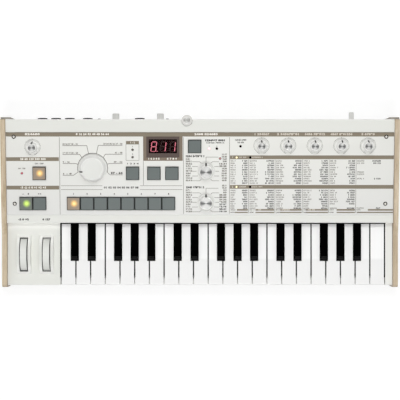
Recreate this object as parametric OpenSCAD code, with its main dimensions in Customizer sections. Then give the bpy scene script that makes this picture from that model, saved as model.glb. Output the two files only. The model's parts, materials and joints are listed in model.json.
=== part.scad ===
// Compact synthesizer with 37 mini keys, built as separate pieces.
// Origin: middle of the footprint on the ground. +X right, +Y rear, +Z up.

/* [Case] */
// Overall depth, wooden fronts to power button tip
overall_d = 232; // [226:1:250]
// Height of the rubber feet
foot_h = 4; // [3:0.5:8]
// Height of the wheel deck above the ground
deck_z = 34.5; // [33:0.5:35]
// Height of the joint between top and bottom case
split_z = 14; // [13:0.5:16]
// Wall thickness of the moulded case
wall = 2.5; // [2:0.1:3]
// Width of the wheel deck at the left of the keys
deck_w = 69.9; // [66:0.1:80]
// Width of the narrow block at the right of the keys
cheek_w = 9.2; // [7:0.1:20]
// Depth of the flat strip between the keys and the control plate
lip_d = 10.2; // [9:0.1:14]
// Depth of the flat strip behind the control plate
rear_strip_d = 17.6; // [16:0.1:22]
// Height of the case where the control plate starts
fold_z = 45; // [44.5:0.1:48]
// Slope of the control plate, in degrees
slope = 7.5; // [6:0.5:9]
// Running gap between neighbouring static pieces
seat = 0.05; // [0.02:0.01:0.1]

/* [Wooden end panels] */
// Thickness of each wooden end panel
end_t = 7; // [6:0.5:12]
// How far the wood stands above the case top
end_rise = 1.5; // [0.5:0.5:4]
// Height of the wood beside the keys
end_front_z = 40; // [38:0.5:42]

/* [Control plate] */
// Thickness of the control plate
plate_t = 2; // [1.5:0.1:2.5]
// Depth of the circuit board below the plate's top
board_w = 9; // [8.8:0.1:10]

/* [Keys] */
// Distance from one white key to the next
key_pitch = 19.5; // [18.5:0.1:21]
// Gap between neighbouring white keys
key_gap = 1.3; // [0.8:0.1:1.5]
// Visible length of a white key
key_reach = 82.6; // [80:0.1:90]
// Visible length of a black key
black_reach = 49.4; // [44:0.1:54]
// Width of a black key at its foot
black_w = 9.4; // [8.5:0.1:11]
// Height of the white key tops
white_z = 35; // [34.5:0.1:35.5]
// Height of the black key tops
black_z = 40.6; // [39.5:0.1:40.8]
// Depth of a white key's front lip
key_skirt = 12; // [10:0.5:12.5]
// Depth of a key's sides behind the lip
key_side = 7; // [6:0.5:8]
// Swing of a pressed key, in degrees
key_swing = 4; // [3:0.5:4]
// Wall thickness of a key
key_wall = 1.6; // [1.2:0.1:1.8]
// Diameter of the steel rod that the keys turn on
rod_d = 3; // [2.5:0.1:3.5]

/* [Buttons] */
// Side of a square button
button_s = 17.3; // [15:0.1:17.5]
// Distance between buttons that stand in a row
button_pitch = 17.9; // [17.8:0.1:19]
// Height of a button above the plate
button_h = 3; // [2:0.1:5]
// Travel of a button
button_travel = 1; // [0.6:0.1:1.1]

/* [Knobs] */
// Skirt diameter of a small knob
knob_d = 17; // [15:0.5:20]
// Height of a small knob's cap above the plate
knob_h = 12.4; // [11:0.1:16]
// Skirt diameter of an edit knob
edit_d = 22; // [20:0.5:25]
// Base diameter of the program dial
dial_d = 36; // [32:0.5:38]
// Height of the program dial above the plate
dial_h = 13; // [11:0.5:16]
// Diameter of every panel spindle
spindle_d = 5; // [4:0.1:6]

/* [Wheels] */
// Radius of the pitch and modulation wheels
wheel_r = 23.9; // [23:0.1:24.4]
// Width of a wheel
wheel_w = 9.2; // [8.5:0.1:12]
// Gap round a wheel in its slot
wheel_gap = 0.9; // [0.5:0.1:1.2]
// Height of the raised hump round a wheel
hump_h = 13.5; // [11:0.5:15]

/* [Rear sockets] */
// Bore of a phone socket for a 6.35 mm plug
phone_bore_d = 6.5; // [6.4:0.05:6.6]
// Height of the rear sockets above the ground
socket_z = 34; // [32:0.5:36]
// Outer diameter of the microphone socket
mic_d = 14.4; // [12:0.1:16]

/* [Battery bay] */
// Width of the battery bay
bay_w = 106; // [104:1:112]
// Depth of the battery bay
bay_d = 47; // [46:0.5:49]
// Inside height of the battery bay
bay_h = 16; // [15.5:0.5:18]

/* [Hidden] */
$fn = 48;

// colours
ivory = [0.89, 0.89, 0.87];
silver = [0.87, 0.87, 0.86];
wood = [0.78, 0.70, 0.58];
key_white = [0.95, 0.95, 0.94];
key_black = [0.07, 0.07, 0.07];
grey_green = [0.44, 0.48, 0.47];
rubber_grey = [0.55, 0.55, 0.54];
pale_grey = [0.83, 0.83, 0.82];
smoke = [0.16, 0.17, 0.17];
board_green = [0.12, 0.35, 0.22];
part_black = [0.12, 0.12, 0.12];
metal = [0.75, 0.75, 0.75];

// plan of the case
white_count = 22;
key_end_gap = 0.95;
well_w = white_count * key_pitch + 2 * key_end_gap;
case_w = deck_w + well_w + cheek_w;
half_w = case_w / 2;
well_l = -half_w + deck_w;
well_r = well_l + well_w;
keys_l = well_l + key_end_gap;
front_setback = 2.5;
rear_setback = 10.5;
case_front = -overall_d / 2 + front_setback;
case_rear = overall_d / 2 - rear_setback;
lip_y = case_front + key_reach;
fold_y = lip_y + lip_d;
lip_t = 2.3;
plate_l = (case_rear - rear_strip_d - fold_y) / cos(slope);
floor_z = foot_h + wall;

// the control plate and what lies under it
ledge_t = 2.5;
plate_gap = 0.3;
// the controls and the opening under them are laid out on a grid of this many steps
grid_steps = [510, 109.54];
function lay(u, v) = [u * case_w / grid_steps.x, v * plate_l / grid_steps.y];
ledge_w = lay(0, 4.7).y;
ledge_side = 14.7;
opening_v = lay(0, 101.84).y;
board_t = 1.6;
screw_d = 3;
screw_head_d = 5.4;
fit = 0.05;
screw_u = half_w - 10.6;
screw_v = [16, plate_l - 4.9];
screw_places = [for (v = screw_v, s = [-1, 1]) [s * screw_u, v]];
post_places = [lay(-185, 85), lay(-110, 92), lay(-15, 65), lay(100, 65), lay(200, 65),
    lay(-100, 33), lay(100, 15), lay(200, 15), lay(-225, 34)];
post_r = 3;

// places of the controls on the plate: [across, up the slope]
row_low = lay(0, 15.7).y;
row_mid = lay(0, 55.8).y;
row_top = lay(0, 92.4).y;
arpeggio_at = [lay(-211.5, 0).x, row_mid];
octave_l = lay(-229.3, 0).x;
program_l = lay(-166.75, 0).x;
program_count = 8;
bank_at = [lay(-88.65, 0).x, row_mid];
write_at = [lay(-60.65, 0).x, row_mid];
shift_at = [lay(-36.95, 0).x, row_mid];
timbre_at = lay(-7, 91.3);
volume_at = lay(-219.9, 90.6);
control_l = lay(80.8, 0).x;
control_pitch = lay(34.9, 0).x;
control_count = 5;
edit_at = [lay(7.9, 58.5), lay(7.9, 17.3)];
dial_at = lay(-141.2, 62.6);
window_at = [lay(-48.75, 0).x, plate_l - 18.84];
window_size = [43.5, 28];
window_t = 1.8;
module_size = [40, 21];
led_places = [lay(-234.4, 55.8), lay(-88.6, 86.9), lay(-88.6, 77.1), lay(12.1, 88.3),
    lay(22.1, 88.3), lay(53.2, 91.4), lay(48.1, 76.6), lay(66.1, 76.6), lay(48.1, 37.7),
    lay(66.1, 37.7), lay(26.4, 75.4)];
led_d = 3;
button_places = concat([arpeggio_at, [octave_l, row_low], [octave_l + button_pitch, row_low],
    bank_at, write_at, shift_at, timbre_at],
    [for (i = [0:program_count - 1]) [program_l + i * button_pitch, row_low]]);
knob_places = concat([volume_at],
    [for (i = [0:control_count - 1]) [control_l + i * control_pitch, row_top]]);
flange = 1.2;
flange_t = 1;
cap_bevel_w = 0.8;
cap_bevel_h = 0.6;
small_cap_d = 9.7;
edit_cap_d = 15.7;
pointer_at = 195;
button_clear = 0.25;
bushing_d = spindle_d + 2;
bushing_clear = 0.2;
spindle_fit = 0.05;
pot_top = 3.2;

// keys
skirt_z = white_z - key_skirt;
pivot_y = lip_y + 38.9;
pivot_z = skirt_z + 5;
tail_y = pivot_y - 12;
tail_w = 6.4;
tail_end = 4;
step_y = lip_y + 4.5;
tail_z = white_z - 1.5;
black_front = lip_y - black_reach;
black_gap = 0.8;
notch_gap = 1.2;
black_bevel = 5;
black_taper = 1.1;
key_front = case_front + 0.6;
actuator_y = lip_y - 27.9;
guide_front = case_front + 18.5;
black_guide_y = lip_y - 36.9;
guide_z = pivot_z - 4;
rod_fit = 0.05;
frame_z = floor_z + 1.5;
frame_t = 2.5;
rib_t = 2.4;
belly_z = white_z - key_side;
lip_l = 4;
peg_w = 3;
dome_h = 4.6;
contact_z = frame_z + frame_t + seat;
dome_top = contact_z + board_t + dome_h;
peg_z = dome_top + (pivot_y - actuator_y) * sin(key_swing) + 0.15;
rail_d = 10.5;
rail_y = case_front + rail_d;
rail_wall_z = belly_z - (pivot_y - rail_y + wall) * sin(key_swing) - 0.5;
// black key centres, from the joint between the white keys at their sides
black_shift = [-1.5, 1.5, 0, -2.5, 0, 2.5];

// wheels
hump_w = 18.4;
hump_half = 26;
hump_r = (hump_half * hump_half + hump_h * hump_h) / (2 * hump_h);
wheel_y = case_front + 40.8;
wheel_z = deck_z - 8;
wheel_x = [-half_w + 21.9, -half_w + 51.9];
slot_clear = 1.7;
dimple_d = 18;
dimple_t = 0.6;
pitch_half = 96;
mod_from = -134;
mod_to = 66;
axle_d = 5;
ear_t = 2.4;
ear_gap = 1.25;

// rear sockets
phone_x = [-209, -191, -173, -149, -80];
switch_x = [-132.5, -41.9];
input_x = [-111.7, -52.6];
power_in_x = half_w - 85;
power_x = half_w - 54.1;
din_x = [for (back = [118, 86, 54]) power_in_x - back];
mic_x = -17.1;
mic_y = case_rear - 1.7;
mic_bore_d = 9;
mic_z = 44;
barrel_d = 9.6;
nut_d = 13;
nut_t = 2.6;
phone_bore_l = 30;
phone_mouth = case_rear + 2.8;
jack_board_z = 22.4;
jack_board_d = 17;
input_d = 9.2;
input_reach = 8.7;
input_spindle_d = 4;
power_s = 6.3;
power_travel = 2.5;
din_d = 15;
dc_d = 9;
// sockets stand against the inside of the rear wall
socket_face = case_rear - wall - 0.3;
power_end_y = socket_face - 3;
power_body_y = power_end_y - power_travel - 0.1;

// underside
bay_x = 33;
bay_y = case_rear - 23.5 - bay_d / 2;
bay_rim = 3;
bay_floor_t = 4.5;
cover_t = 1.9;
cover_gap = 0.3;
speaker_places = [[-200, case_rear - 50.5, 50], [200, case_rear - 50.5, 50],
    [135, case_rear - 50.5, 56]];
speaker_h = 20;
foot_d = 18;
foot_x = half_w - 29;
foot_y = [case_front + 18, case_rear - 20];

function surf(y) = fold_z + (y - fold_y) * tan(slope);
function unit(v) = v / norm(v);

// points of one corner, rounded to radius r
function corner(a, b, c, r, n = 6) = r == 0 ? [b] :
    let (u = unit(a - b), v = unit(c - b), half = acos(u * v) / 2,
        centre = b + unit(u + v) * r / sin(half),
        from = b + u * r / tan(half) - centre, to = b + v * r / tan(half) - centre,
        start = atan2(from.y, from.x),
        sweep = (atan2(to.y, to.x) - start + 540) % 360 - 180)
    [for (i = [0:n]) centre + r * [cos(start + sweep * i / n), sin(start + sweep * i / n)]];

// outline with each corner rounded to its own radius
function rounded(points, radii) = let (n = len(points))
    [for (i = [0:n - 1]) each corner(points[(i + n - 1) % n], points[i], points[(i + 1) % n],
        radii[i])];

function rect(x0, y0, x1, y1) = [[x0, y0], [x1, y0], [x1, y1], [x0, y1]];

// places children on the control plate: w is measured up from its top face
module on_panel(u, v, w = 0)
    translate([0, fold_y, fold_z]) rotate([slope, 0, 0]) translate([u, v, w]) children();

// extrudes an outline drawn in Y and Z from x0 to x1
module along_x(x0, x1, points)
    translate([x0, 0, 0]) rotate([90, 0, 90]) linear_extrude(x1 - x0) polygon(points);

// extrudes an outline drawn in X and Z from y0 to y1
module along_y(y0, y1, points)
    translate([0, y1, 0]) rotate([90, 0, 0]) linear_extrude(y1 - y0) polygon(points);

module block(from, to) translate(from) cube(to - from);

module rod_x(x0, x1, y, z, d)
    translate([x0, y, z]) rotate([0, 90, 0]) cylinder(h = x1 - x0, d = d);

module rod_y(y0, y1, x, z, d)
    translate([x, y1, z]) rotate([90, 0, 0]) cylinder(h = y1 - y0, d = d);

// ---- case ----

module upper_shell() difference() {
    along_x(-half_w, half_w, rounded([[lip_y, split_z + seat], [lip_y, surf(lip_y)],
        [case_rear, surf(case_rear)], [case_rear, split_z + seat]], [0, 1.5, 2.5, 0]));
    ceiling_y = fold_y - wall;
    under_plate = (plate_t + seat + ledge_t) / cos(slope);
    along_x(-half_w + wall, half_w - wall, [[lip_y + wall, split_z - 1],
        [lip_y + wall, surf(lip_y + wall) - lip_t], [ceiling_y, surf(ceiling_y) - lip_t],
        [ceiling_y, surf(ceiling_y) - under_plate],
        [case_rear - wall, surf(case_rear - wall) - under_plate],
        [case_rear - wall, split_z - 1]]);
}

// hollow block beside the keys, from x0 to x1
module deck_shell(x0, x1) difference() {
    along_x(x0, x1, rounded([[case_front, split_z + seat], [case_front, deck_z],
        [lip_y + wall, deck_z], [lip_y + wall, split_z + seat]], [0, 2, 0, 0]));
    block([x0 + wall, case_front + wall, split_z - 1], [x1 - wall, lip_y + 1, deck_z - wall]);
}

module hump(x) intersection() {
    rod_x(x - hump_w / 2, x + hump_w / 2, wheel_y, deck_z + hump_h - hump_r, 2 * hump_r);
    block([x - hump_w, wheel_y - hump_half, deck_z - 1],
        [x + hump_w, wheel_y + hump_half, deck_z + hump_h + 1]);
}

module wheel_slot(x) rod_x(x - wheel_w / 2 - wheel_gap, x + wheel_w / 2 + wheel_gap, wheel_y,
    wheel_z, 2 * (wheel_r + slot_clear));

// openings in the rear wall, each a little larger than its socket
module rear_holes() {
    y0 = case_rear - wall - 1;
    y1 = case_rear + 1;
    for (x = phone_x) rod_y(y0, y1, x, socket_z, barrel_d + 0.4);
    for (x = input_x) rod_y(y0, y1, x, socket_z, input_spindle_d + 1);
    for (x = din_x) rod_y(y0, y1, x, socket_z, din_d + 0.4);
    for (x = switch_x) block([x - 4.4, y0, socket_z - 2.4], [x + 4.4, y1, socket_z + 2.4]);
    rod_y(y0, y1, power_in_x, socket_z, dc_d + 0.4);
    block([power_x - power_s / 2 - 0.3, y0, socket_z - power_s / 2 - 0.3],
        [power_x + power_s / 2 + 0.3, y1, socket_z + power_s / 2 + 0.3]);
    translate([mic_x, mic_y, mic_z - 0.3]) cylinder(h = 40, d = mic_d + 0.6);
}

module top_case() color(ivory) difference() {
    union() {
        upper_shell();
        deck_shell(-half_w, well_l);
        deck_shell(well_r, half_w);
        for (x = wheel_x) hump(x);
        for (p = screw_places)
            on_panel(p.x, p.y, -plate_t - seat - 8) cylinder(h = 7.5, d = screw_d + 3);
    }
    // seat of the control plate, and the opening inside it
    on_panel(0, 0, 0) block([-half_w + plate_gap / 2, plate_gap, -plate_t - seat],
        [half_w - plate_gap / 2, plate_l + plate_gap * 2, 20]);
    on_panel(0, 0, 0) block([-half_w + ledge_side, ledge_w, -20],
        [half_w - ledge_side, opening_v, 1]);
    for (p = screw_places)
        on_panel(p.x, p.y, -14) cylinder(h = 14, d = screw_d + 2 * fit);
    // the keys pass under the lip
    block([well_l, lip_y - 1, split_z - 1],
        [well_r, lip_y + wall + 1, surf(lip_y) - lip_t]);
    for (x = wheel_x) wheel_slot(x);
    rear_holes();
}

module bottom_case() color(ivory) {
    difference() {
        union() {
            difference() {
                along_x(-half_w, half_w, [[case_front, foot_h + 2], [case_front + 2, foot_h],
                    [case_rear - 2, foot_h], [case_rear, foot_h + 2], [case_rear, split_z],
                    [case_front, split_z]]);
                block([-half_w + wall, case_front + wall, floor_z],
                    [half_w - wall, case_rear - wall, split_z + 1]);
            }
            bay_shell();
            // front rail under the keys
            block([well_l, case_front, split_z - wall], [well_r, rail_y, split_z]);
            block([well_l, rail_y - wall, foot_h], [well_r, rail_y, rail_wall_z]);
            // ribs that carry the keybed
            for (y = [rail_y + 5, pivot_y - 6])
                block([well_l + 2, y, foot_h], [well_r - 2, y + 3, frame_z - seat]);
            // posts that carry the rear sockets
            for (x = [-225, -120, 0, 100, 220])
                translate([x, case_rear - wall - 12, foot_h])
                    cylinder(h = jack_board_z - foot_h - seat, d = 7);
        }
        bay_cut();
        for (p = speaker_places) grille(p);
    }
}

module bay_shell() {
    x0 = bay_x - bay_w / 2;
    y0 = bay_y - bay_d / 2;
    block([x0 - wall, y0 - wall, foot_h],
        [x0 + bay_w + wall, y0 + bay_d + wall, foot_h + cover_t + bay_h + wall]);
    block([x0 - bay_rim - wall, y0 - bay_rim - wall, foot_h],
        [x0 + bay_w + bay_rim + wall, y0 + bay_d + bay_rim + wall, foot_h + bay_floor_t]);
}

module bay_cut() {
    x0 = bay_x - bay_w / 2;
    y0 = bay_y - bay_d / 2;
    block([x0, y0, foot_h - 1], [x0 + bay_w, y0 + bay_d, foot_h + cover_t + bay_h]);
    block([x0 - bay_rim, y0 - bay_rim, foot_h - 1],
        [x0 + bay_w + bay_rim, y0 + bay_d + bay_rim, foot_h + cover_t + seat]);
}

// parallel slots within a circle
module grille(p) {
    slot_pitch = 5;
    slot_w = 2;
    reach = p.z / 2 - 5;
    for (i = [-floor(reach / slot_pitch):floor(reach / slot_pitch)]) {
        half = sqrt(reach * reach - pow(i * slot_pitch, 2));
        if (half > slot_w) translate([p.x, p.y + i * slot_pitch, foot_h - 1])
            linear_extrude(wall + 2) {
                square([2 * half - slot_w, slot_w], center = true);
                for (s = [-1, 1]) translate([s * (half - slot_w / 2), 0]) circle(d = slot_w);
            }
    }
}

module end_profile(x0, x1) along_x(x0, x1, rounded([[-overall_d / 2, foot_h],
    [-overall_d / 2, end_front_z], [lip_y - 15, end_front_z + 0.5],
    [lip_y, surf(lip_y) + end_rise], [case_rear, surf(case_rear) + end_rise],
    [case_rear, foot_h]], [3, 5, 12, 8, 2.5, 2]));

module left_end_panel() color(wood) end_profile(-half_w - end_t, -half_w - seat);

module right_end_panel() color(wood) end_profile(half_w + seat, half_w + end_t);

module control_panel() color(silver) difference() {
    union() {
        on_panel(0, 0, 0) block([-half_w + plate_gap, plate_gap * 1.5, -plate_t],
            [half_w - plate_gap, plate_l, 0]);
        for (p = post_places)
            on_panel(p.x, p.y, -board_w + seat) cylinder(h = board_w - plate_t, r = post_r);
    }
    on_panel(0, 0, 0) {
        for (p = [arpeggio_at, bank_at, write_at, shift_at, timbre_at]) button_hole(p, 1);
        button_hole([octave_l, row_low], 2);
        button_hole([program_l, row_low], program_count);
        for (p = concat(knob_places, edit_at, [dial_at])) translate([p.x, p.y, -plate_t - 1])
            cylinder(h = plate_t + 2, d = bushing_d + 2 * bushing_clear);
        for (p = led_places) translate([p.x, p.y, -plate_t - 1])
            cylinder(h = plate_t + 2, d = led_d + 0.3);
        for (p = screw_places) translate([p.x, p.y, -plate_t - 1])
            cylinder(h = plate_t + 2, d = screw_d + 0.4);
        translate([window_at.x, window_at.y, 0])
            cube([window_size.x + 0.4, window_size.y + 0.4, 3 * plate_t], center = true);
    }
}

// one opening for a row of n buttons, starting at p
module button_hole(p, n) block([p.x - button_s / 2 - button_clear,
    p.y - button_s / 2 - button_clear, -plate_t - 1],
    [p.x + (n - 1) * button_pitch + button_s / 2 + button_clear,
    p.y + button_s / 2 + button_clear, 1]);

module panel_screws() color(metal) for (p = screw_places) on_panel(p.x, p.y, 0) {
    rotate_extrude() polygon([[0, -10], [screw_d / 2, -9], [screw_d / 2, 0.02],
        [screw_head_d / 2, 0.02], [screw_head_d / 2 - 0.2, 0.9], [screw_head_d / 2 - 1, 1.5],
        [1, 1.7], [0.9, 0.9], [0, 0.9]]);
}

module feet_and_bumpers() color(rubber_grey) {
    for (x = [-foot_x, foot_x], y = foot_y) translate([x, y, 0]) rotate_extrude()
        polygon([[0, 0], [foot_d / 2 - 1, 0], [foot_d / 2, 1], [foot_d / 2, foot_h - seat],
            [0, foot_h - seat]]);
    // corner guards behind the wooden panels
    for (s = [-1, 1]) mirror([s < 0 ? 1 : 0, 0, 0]) along_y(case_rear + seat, case_rear + 2.8,
        rounded(rect(half_w - 6, foot_h + 4, half_w + end_t, surf(case_rear) - 4),
            [2, 2, 2, 2]));
}

// ---- display, lamps and boards ----

module display_window() color(smoke) on_panel(window_at.x, window_at.y, -window_t / 2 - 0.1)
    cube([window_size.x, window_size.y, window_t], center = true);

module display_module() color(part_black) on_panel(window_at.x, window_at.y, 0) difference() {
    top = -window_t - 0.15;
    block([-module_size.x / 2, -module_size.y / 2, -board_w + seat],
        [module_size.x / 2, module_size.y / 2, top]);
    for (i = [-1:1]) translate([i * 12, 0.5, top])
        cube([10, 14, 0.6], center = true);
}

module panel_leds() color([0.8, 0.25, 0.15]) for (p = led_places)
    on_panel(p.x, p.y, 0) rotate_extrude() polygon(concat([[0, -board_w + seat],
        [led_d / 2, -board_w + seat]],
        [for (a = [0:15:90]) [led_d / 2 * cos(a), -0.6 + led_d / 2 * sin(a)]]));

module control_board() color(board_green) on_panel(0, 0, 0)
    block([-half_w + ledge_side + 1.5, ledge_w + 2, -board_w - board_t],
        [half_w - ledge_side - 1.5, opening_v - 2.5, -board_w]);

module pot(p, size, d) on_panel(p.x, p.y, 0) difference() {
    union() {
        translate([0, 0, (-pot_top - board_w + seat) / 2])
            cube([size, size, board_w - seat - pot_top], center = true);
        translate([0, 0, -pot_top - 0.5]) cylinder(h = pot_top, d = d + 2);
    }
    translate([0, 0, -board_w + 0.8]) cylinder(h = board_w, d = d + 2 * spindle_fit);
}

module switches_and_pots() color(part_black) {
    plunger_top = -plate_t - plate_gap - flange_t - button_travel - 0.1;
    for (p = button_places) on_panel(p.x, p.y, 0) {
        translate([0, 0, -board_w + seat + 1.7]) cube([6, 6, 3.4], center = true);
        translate([0, 0, -board_w + seat + 3.3])
            cylinder(h = plunger_top + board_w - seat - 3.3, d = 3.4);
    }
    for (p = knob_places) pot(p, 10, spindle_d);
    for (p = edit_at) pot(p, 12, spindle_d);
    pot(dial_at, 26, spindle_d);
}

// ---- keybed ----

function black_centre(k) = keys_l + (k + 1) * key_pitch + black_shift[k % 7];
function has_black(k) = k >= 0 && k < white_count - 1 && k % 7 != 2 && k % 7 != 6;
// the stem of white key k runs between its black neighbours
function stem_l(k) = has_black(k - 1) ? black_centre(k - 1) + black_w / 2 + black_gap :
    keys_l + k * key_pitch + key_gap / 2;
function stem_r(k) = has_black(k) ? black_centre(k) - black_w / 2 - black_gap :
    keys_l + (k + 1) * key_pitch - key_gap / 2;

// hollow underside and pivot bore of a key
module key_inside(x0, x1, y0, roof) {
    block([x0 + key_wall, y0, skirt_z - 1], [x1 - key_wall, tail_y - 8, roof]);
    rod_x(x0 - 20, x1 + 20, pivot_y, pivot_z, rod_d + 2 * rod_fit);
}

// cross rib and peg that press the rubber dome
module actuator(x0, x1) {
    c = (x0 + x1) / 2;
    block([x0 + key_wall - 0.1, actuator_y, belly_z], [x1 - key_wall + 0.1, actuator_y + 2,
        white_z - 1.5]);
    block([c - peg_w / 2, actuator_y, peg_z], [c + peg_w / 2, actuator_y + 2, belly_z + 1]);
}

module white_key(k) {
    l = keys_l + k * key_pitch + key_gap / 2;
    r = l + key_pitch - key_gap;
    sl = stem_l(k);
    sr = stem_r(k);
    tail = (sl + sr) / 2;
    notch = black_front - notch_gap;
    end = pivot_y + tail_end;
    difference() {
        intersection() {
            along_x(l - 1, r + 1, rounded([[key_front, skirt_z], [key_front, white_z],
                [step_y, white_z], [step_y, tail_z], [end, tail_z], [end, skirt_z],
                [tail_y - 3, skirt_z], [tail_y - 8, belly_z], [key_front + lip_l, belly_z],
                [key_front + lip_l, skirt_z]], [0, 1.4, 0, 0, 1, 1, 0, 0, 0, 0]));
            translate([0, 0, skirt_z - 1]) linear_extrude(key_skirt + 2) union() {
                translate([l, key_front - 1]) square([r - l, notch - key_front + 1]);
                translate([sl, notch - 1]) square([sr - sl, tail_y - notch + 1]);
                translate([tail - tail_w / 2, tail_y - 1]) square([tail_w, end - tail_y + 2]);
            }
        }
        block([l + key_wall, key_front + key_wall + 0.6, skirt_z - 1],
            [r - key_wall, notch - key_wall, white_z - 2]);
        key_inside(sl, sr, notch - key_wall - 1, white_z - 2);
    }
    actuator(sl, sr);
}

module black_key(k) {
    c = black_centre(k);
    l = c - black_w / 2;
    r = c + black_w / 2;
    end = pivot_y + tail_end;
    difference() {
        intersection() {
            along_x(l, r, rounded([[black_front, white_z + 0.8],
                [black_front + black_bevel, black_z], [step_y, black_z], [step_y, tail_z],
                [end, tail_z], [end, skirt_z], [tail_y - 3, skirt_z], [tail_y - 8, belly_z],
                [black_front, belly_z]], [1, 2, 0, 0, 1, 1, 0, 0, 0]));
            translate([0, 0, skirt_z - 1]) linear_extrude(30) union() {
                translate([l, black_front - 1]) square([r - l, tail_y - black_front + 1]);
                translate([c - tail_w / 2, tail_y - 1]) square([tail_w, end - tail_y + 2]);
            }
            along_y(black_front - 1, end + 1, [[l, skirt_z - 1], [r, skirt_z - 1],
                [r, white_z], [r - black_taper, black_z + 1], [l + black_taper, black_z + 1],
                [l, white_z]]);
        }
        key_inside(l, r, black_front + key_wall + 2.6, white_z - 2);
    }
    actuator(l, r);
}

module white_keys(step) color(key_white)
    for (k = [0:white_count - 1]) if (k % 7 == step) white_key(k);

module black_keys(step) color(key_black)
    for (k = [0:white_count - 2]) if (k % 7 == step) black_key(k);

module keybed_frame() color(part_black) difference() {
    union() {
        block([well_l + 1, rail_y + 1, frame_z],
            [well_r - 1, pivot_y + 5, frame_z + frame_t]);
        // guide posts inside the keys
        for (k = [0:white_count - 1]) {
            c = keys_l + (k + 0.5) * key_pitch;
            block([c - 3, guide_front, frame_z + 1], [c + 3, guide_front + 4, guide_z]);
            if (has_black(k)) {
                b = black_centre(k);
                block([b - 2, black_guide_y, frame_z + 1],
                    [b + 2, black_guide_y + 4, guide_z]);
            }
        }
        // ribs that hold the pivot rod
        for (k = [0:white_count]) if (k % 7 == 0 || k % 7 == 3 || k == white_count)
            block([keys_l + k * key_pitch - rib_t / 2, pivot_y - 5, frame_z + 1],
                [keys_l + k * key_pitch + rib_t / 2, pivot_y + 5, pivot_z + 4]);
    }
    rod_x(well_l - 5, well_r + 5, pivot_y, pivot_z, rod_d + 2 * rod_fit);
}

module key_pivot_rod() color(metal)
    rod_x(keys_l - rib_t / 2, keys_l + white_count * key_pitch + rib_t / 2, pivot_y, pivot_z,
        rod_d);

module key_contact_board() {
    z = contact_z;
    color(board_green) block([well_l + 3, actuator_y - 4.5, z],
        [well_r - 3, actuator_y + 12, z + board_t]);
    // one rubber dome under each key
    color(rubber_grey) for (k = [0:white_count - 1]) {
        dome((stem_l(k) + stem_r(k)) / 2, z + board_t);
        if (has_black(k)) dome(black_centre(k), z + board_t);
    }
}

module dome(x, z) translate([x, actuator_y + 1, z]) rotate_extrude()
    polygon([[0, 0], [3.6, 0], [3.6, 0.6], [2, dome_h - 1], [2, dome_h], [0, dome_h]]);

// ---- wheels ----

// angle from the top of the wheel, positive towards the rear
module wheel(x, from, to) color(ivory) difference() {
    union() {
        intersection() {
            rod_x(x - wheel_w / 2, x + wheel_w / 2, wheel_y, wheel_z, 2 * wheel_r);
            along_x(x - wheel_w / 2, x + wheel_w / 2, concat([[wheel_y, wheel_z]],
                [for (i = [0:12]) let (a = from + (to - from) * i / 12)
                    [wheel_y + 2 * wheel_r * sin(a), wheel_z + 2 * wheel_r * cos(a)]]));
        }
        rod_x(x - wheel_w / 2, x + wheel_w / 2, wheel_y, wheel_z, axle_d + 7);
    }
    rod_x(x - wheel_w, x + wheel_w, wheel_y, wheel_z, axle_d + 2 * spindle_fit);
    // shallow finger dimple across the rim
    rod_x(x - wheel_w, x + wheel_w, wheel_y, wheel_z + wheel_r + dimple_d / 2 - dimple_t,
        dimple_d);
}

module wheel_bracket() color(part_black) {
    ears = [wheel_x[0] - wheel_w / 2 - ear_gap - ear_t, (wheel_x[0] + wheel_x[1] - ear_t) / 2,
        wheel_x[1] + wheel_w / 2 + ear_gap];
    block([ears[0], wheel_y - 12, floor_z + seat], [ears[2] + ear_t, wheel_y + 12,
        floor_z + 1.5]);
    for (x = ears) block([x, wheel_y - 6, floor_z + 1], [x + ear_t, wheel_y + 6,
        wheel_z + 4.2]);
    rod_x(ears[0], ears[2] + ear_t, wheel_y, wheel_z, axle_d);
    // spacers beside the hubs
    for (x = wheel_x) for (s = [-1, 1]) {
        near = x + s * (wheel_w / 2 + 0.2);
        far = x + s * (wheel_w / 2 + ear_gap + 0.1);
        rod_x(min(near, far), max(near, far), wheel_y, wheel_z, axle_d + 3);
    }
}

// ---- knobs and buttons ----

module button(p) color(grey_green) on_panel(p.x, p.y, 0) {
    intersection() {
        rotate([90, 0, 90]) translate([0, 0, -button_s / 2]) linear_extrude(button_s)
            polygon(cap_outline());
        rotate([90, 0, 0]) translate([0, 0, -button_s / 2]) linear_extrude(button_s)
            polygon(cap_outline());
    }
    block([-button_s / 2, -button_s / 2 - flange, -plate_t - plate_gap - flange_t],
        [button_s / 2, button_s / 2 + flange, -plate_t - plate_gap]);
}

function cap_outline() = [[-button_s / 2, -plate_t - plate_gap - flange_t / 2],
    [button_s / 2, -plate_t - plate_gap - flange_t / 2],
    [button_s / 2, button_h - cap_bevel_h], [button_s / 2 - cap_bevel_w, button_h],
    [-button_s / 2 + cap_bevel_w, button_h], [-button_s / 2, button_h - cap_bevel_h]];

// revolved knob with a flared skirt and a metal cap set in its top
module knob(p, d, h, cap_d) {
    r = d / 2;
    rim = cap_d / 2 + 1;
    base = 0.8;
    on_panel(p.x, p.y, 0) rotate_extrude() polygon(concat(
        [[0, -board_w + 1.2], [spindle_d / 2, -board_w + 1.2], [spindle_d / 2, base + 1.2],
        [r - 1.2, base + 1.2], [r - 1.2, base], [r, base], [r, base + 1.2]],
        [for (i = [0:5]) let (t = i / 5) [r - (r - rim - 0.5) * sin(90 * t),
            base + 1.2 + 3.4 * (1 - cos(90 * t))]],
        [[rim, h - 0.9], [rim - 0.2, h - 0.35], [rim - 0.6, h - 0.15], [cap_d / 2, h - 0.15],
        [cap_d / 2, h - 0.3], [cap_d / 2 - 0.15, h], [0, h]]));
}

module small_knob(i) color(ivory) knob(knob_places[i], knob_d, knob_h, small_cap_d);

module edit_knob(i) color(ivory) knob(edit_at[i], edit_d, knob_h, edit_cap_d);

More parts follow.
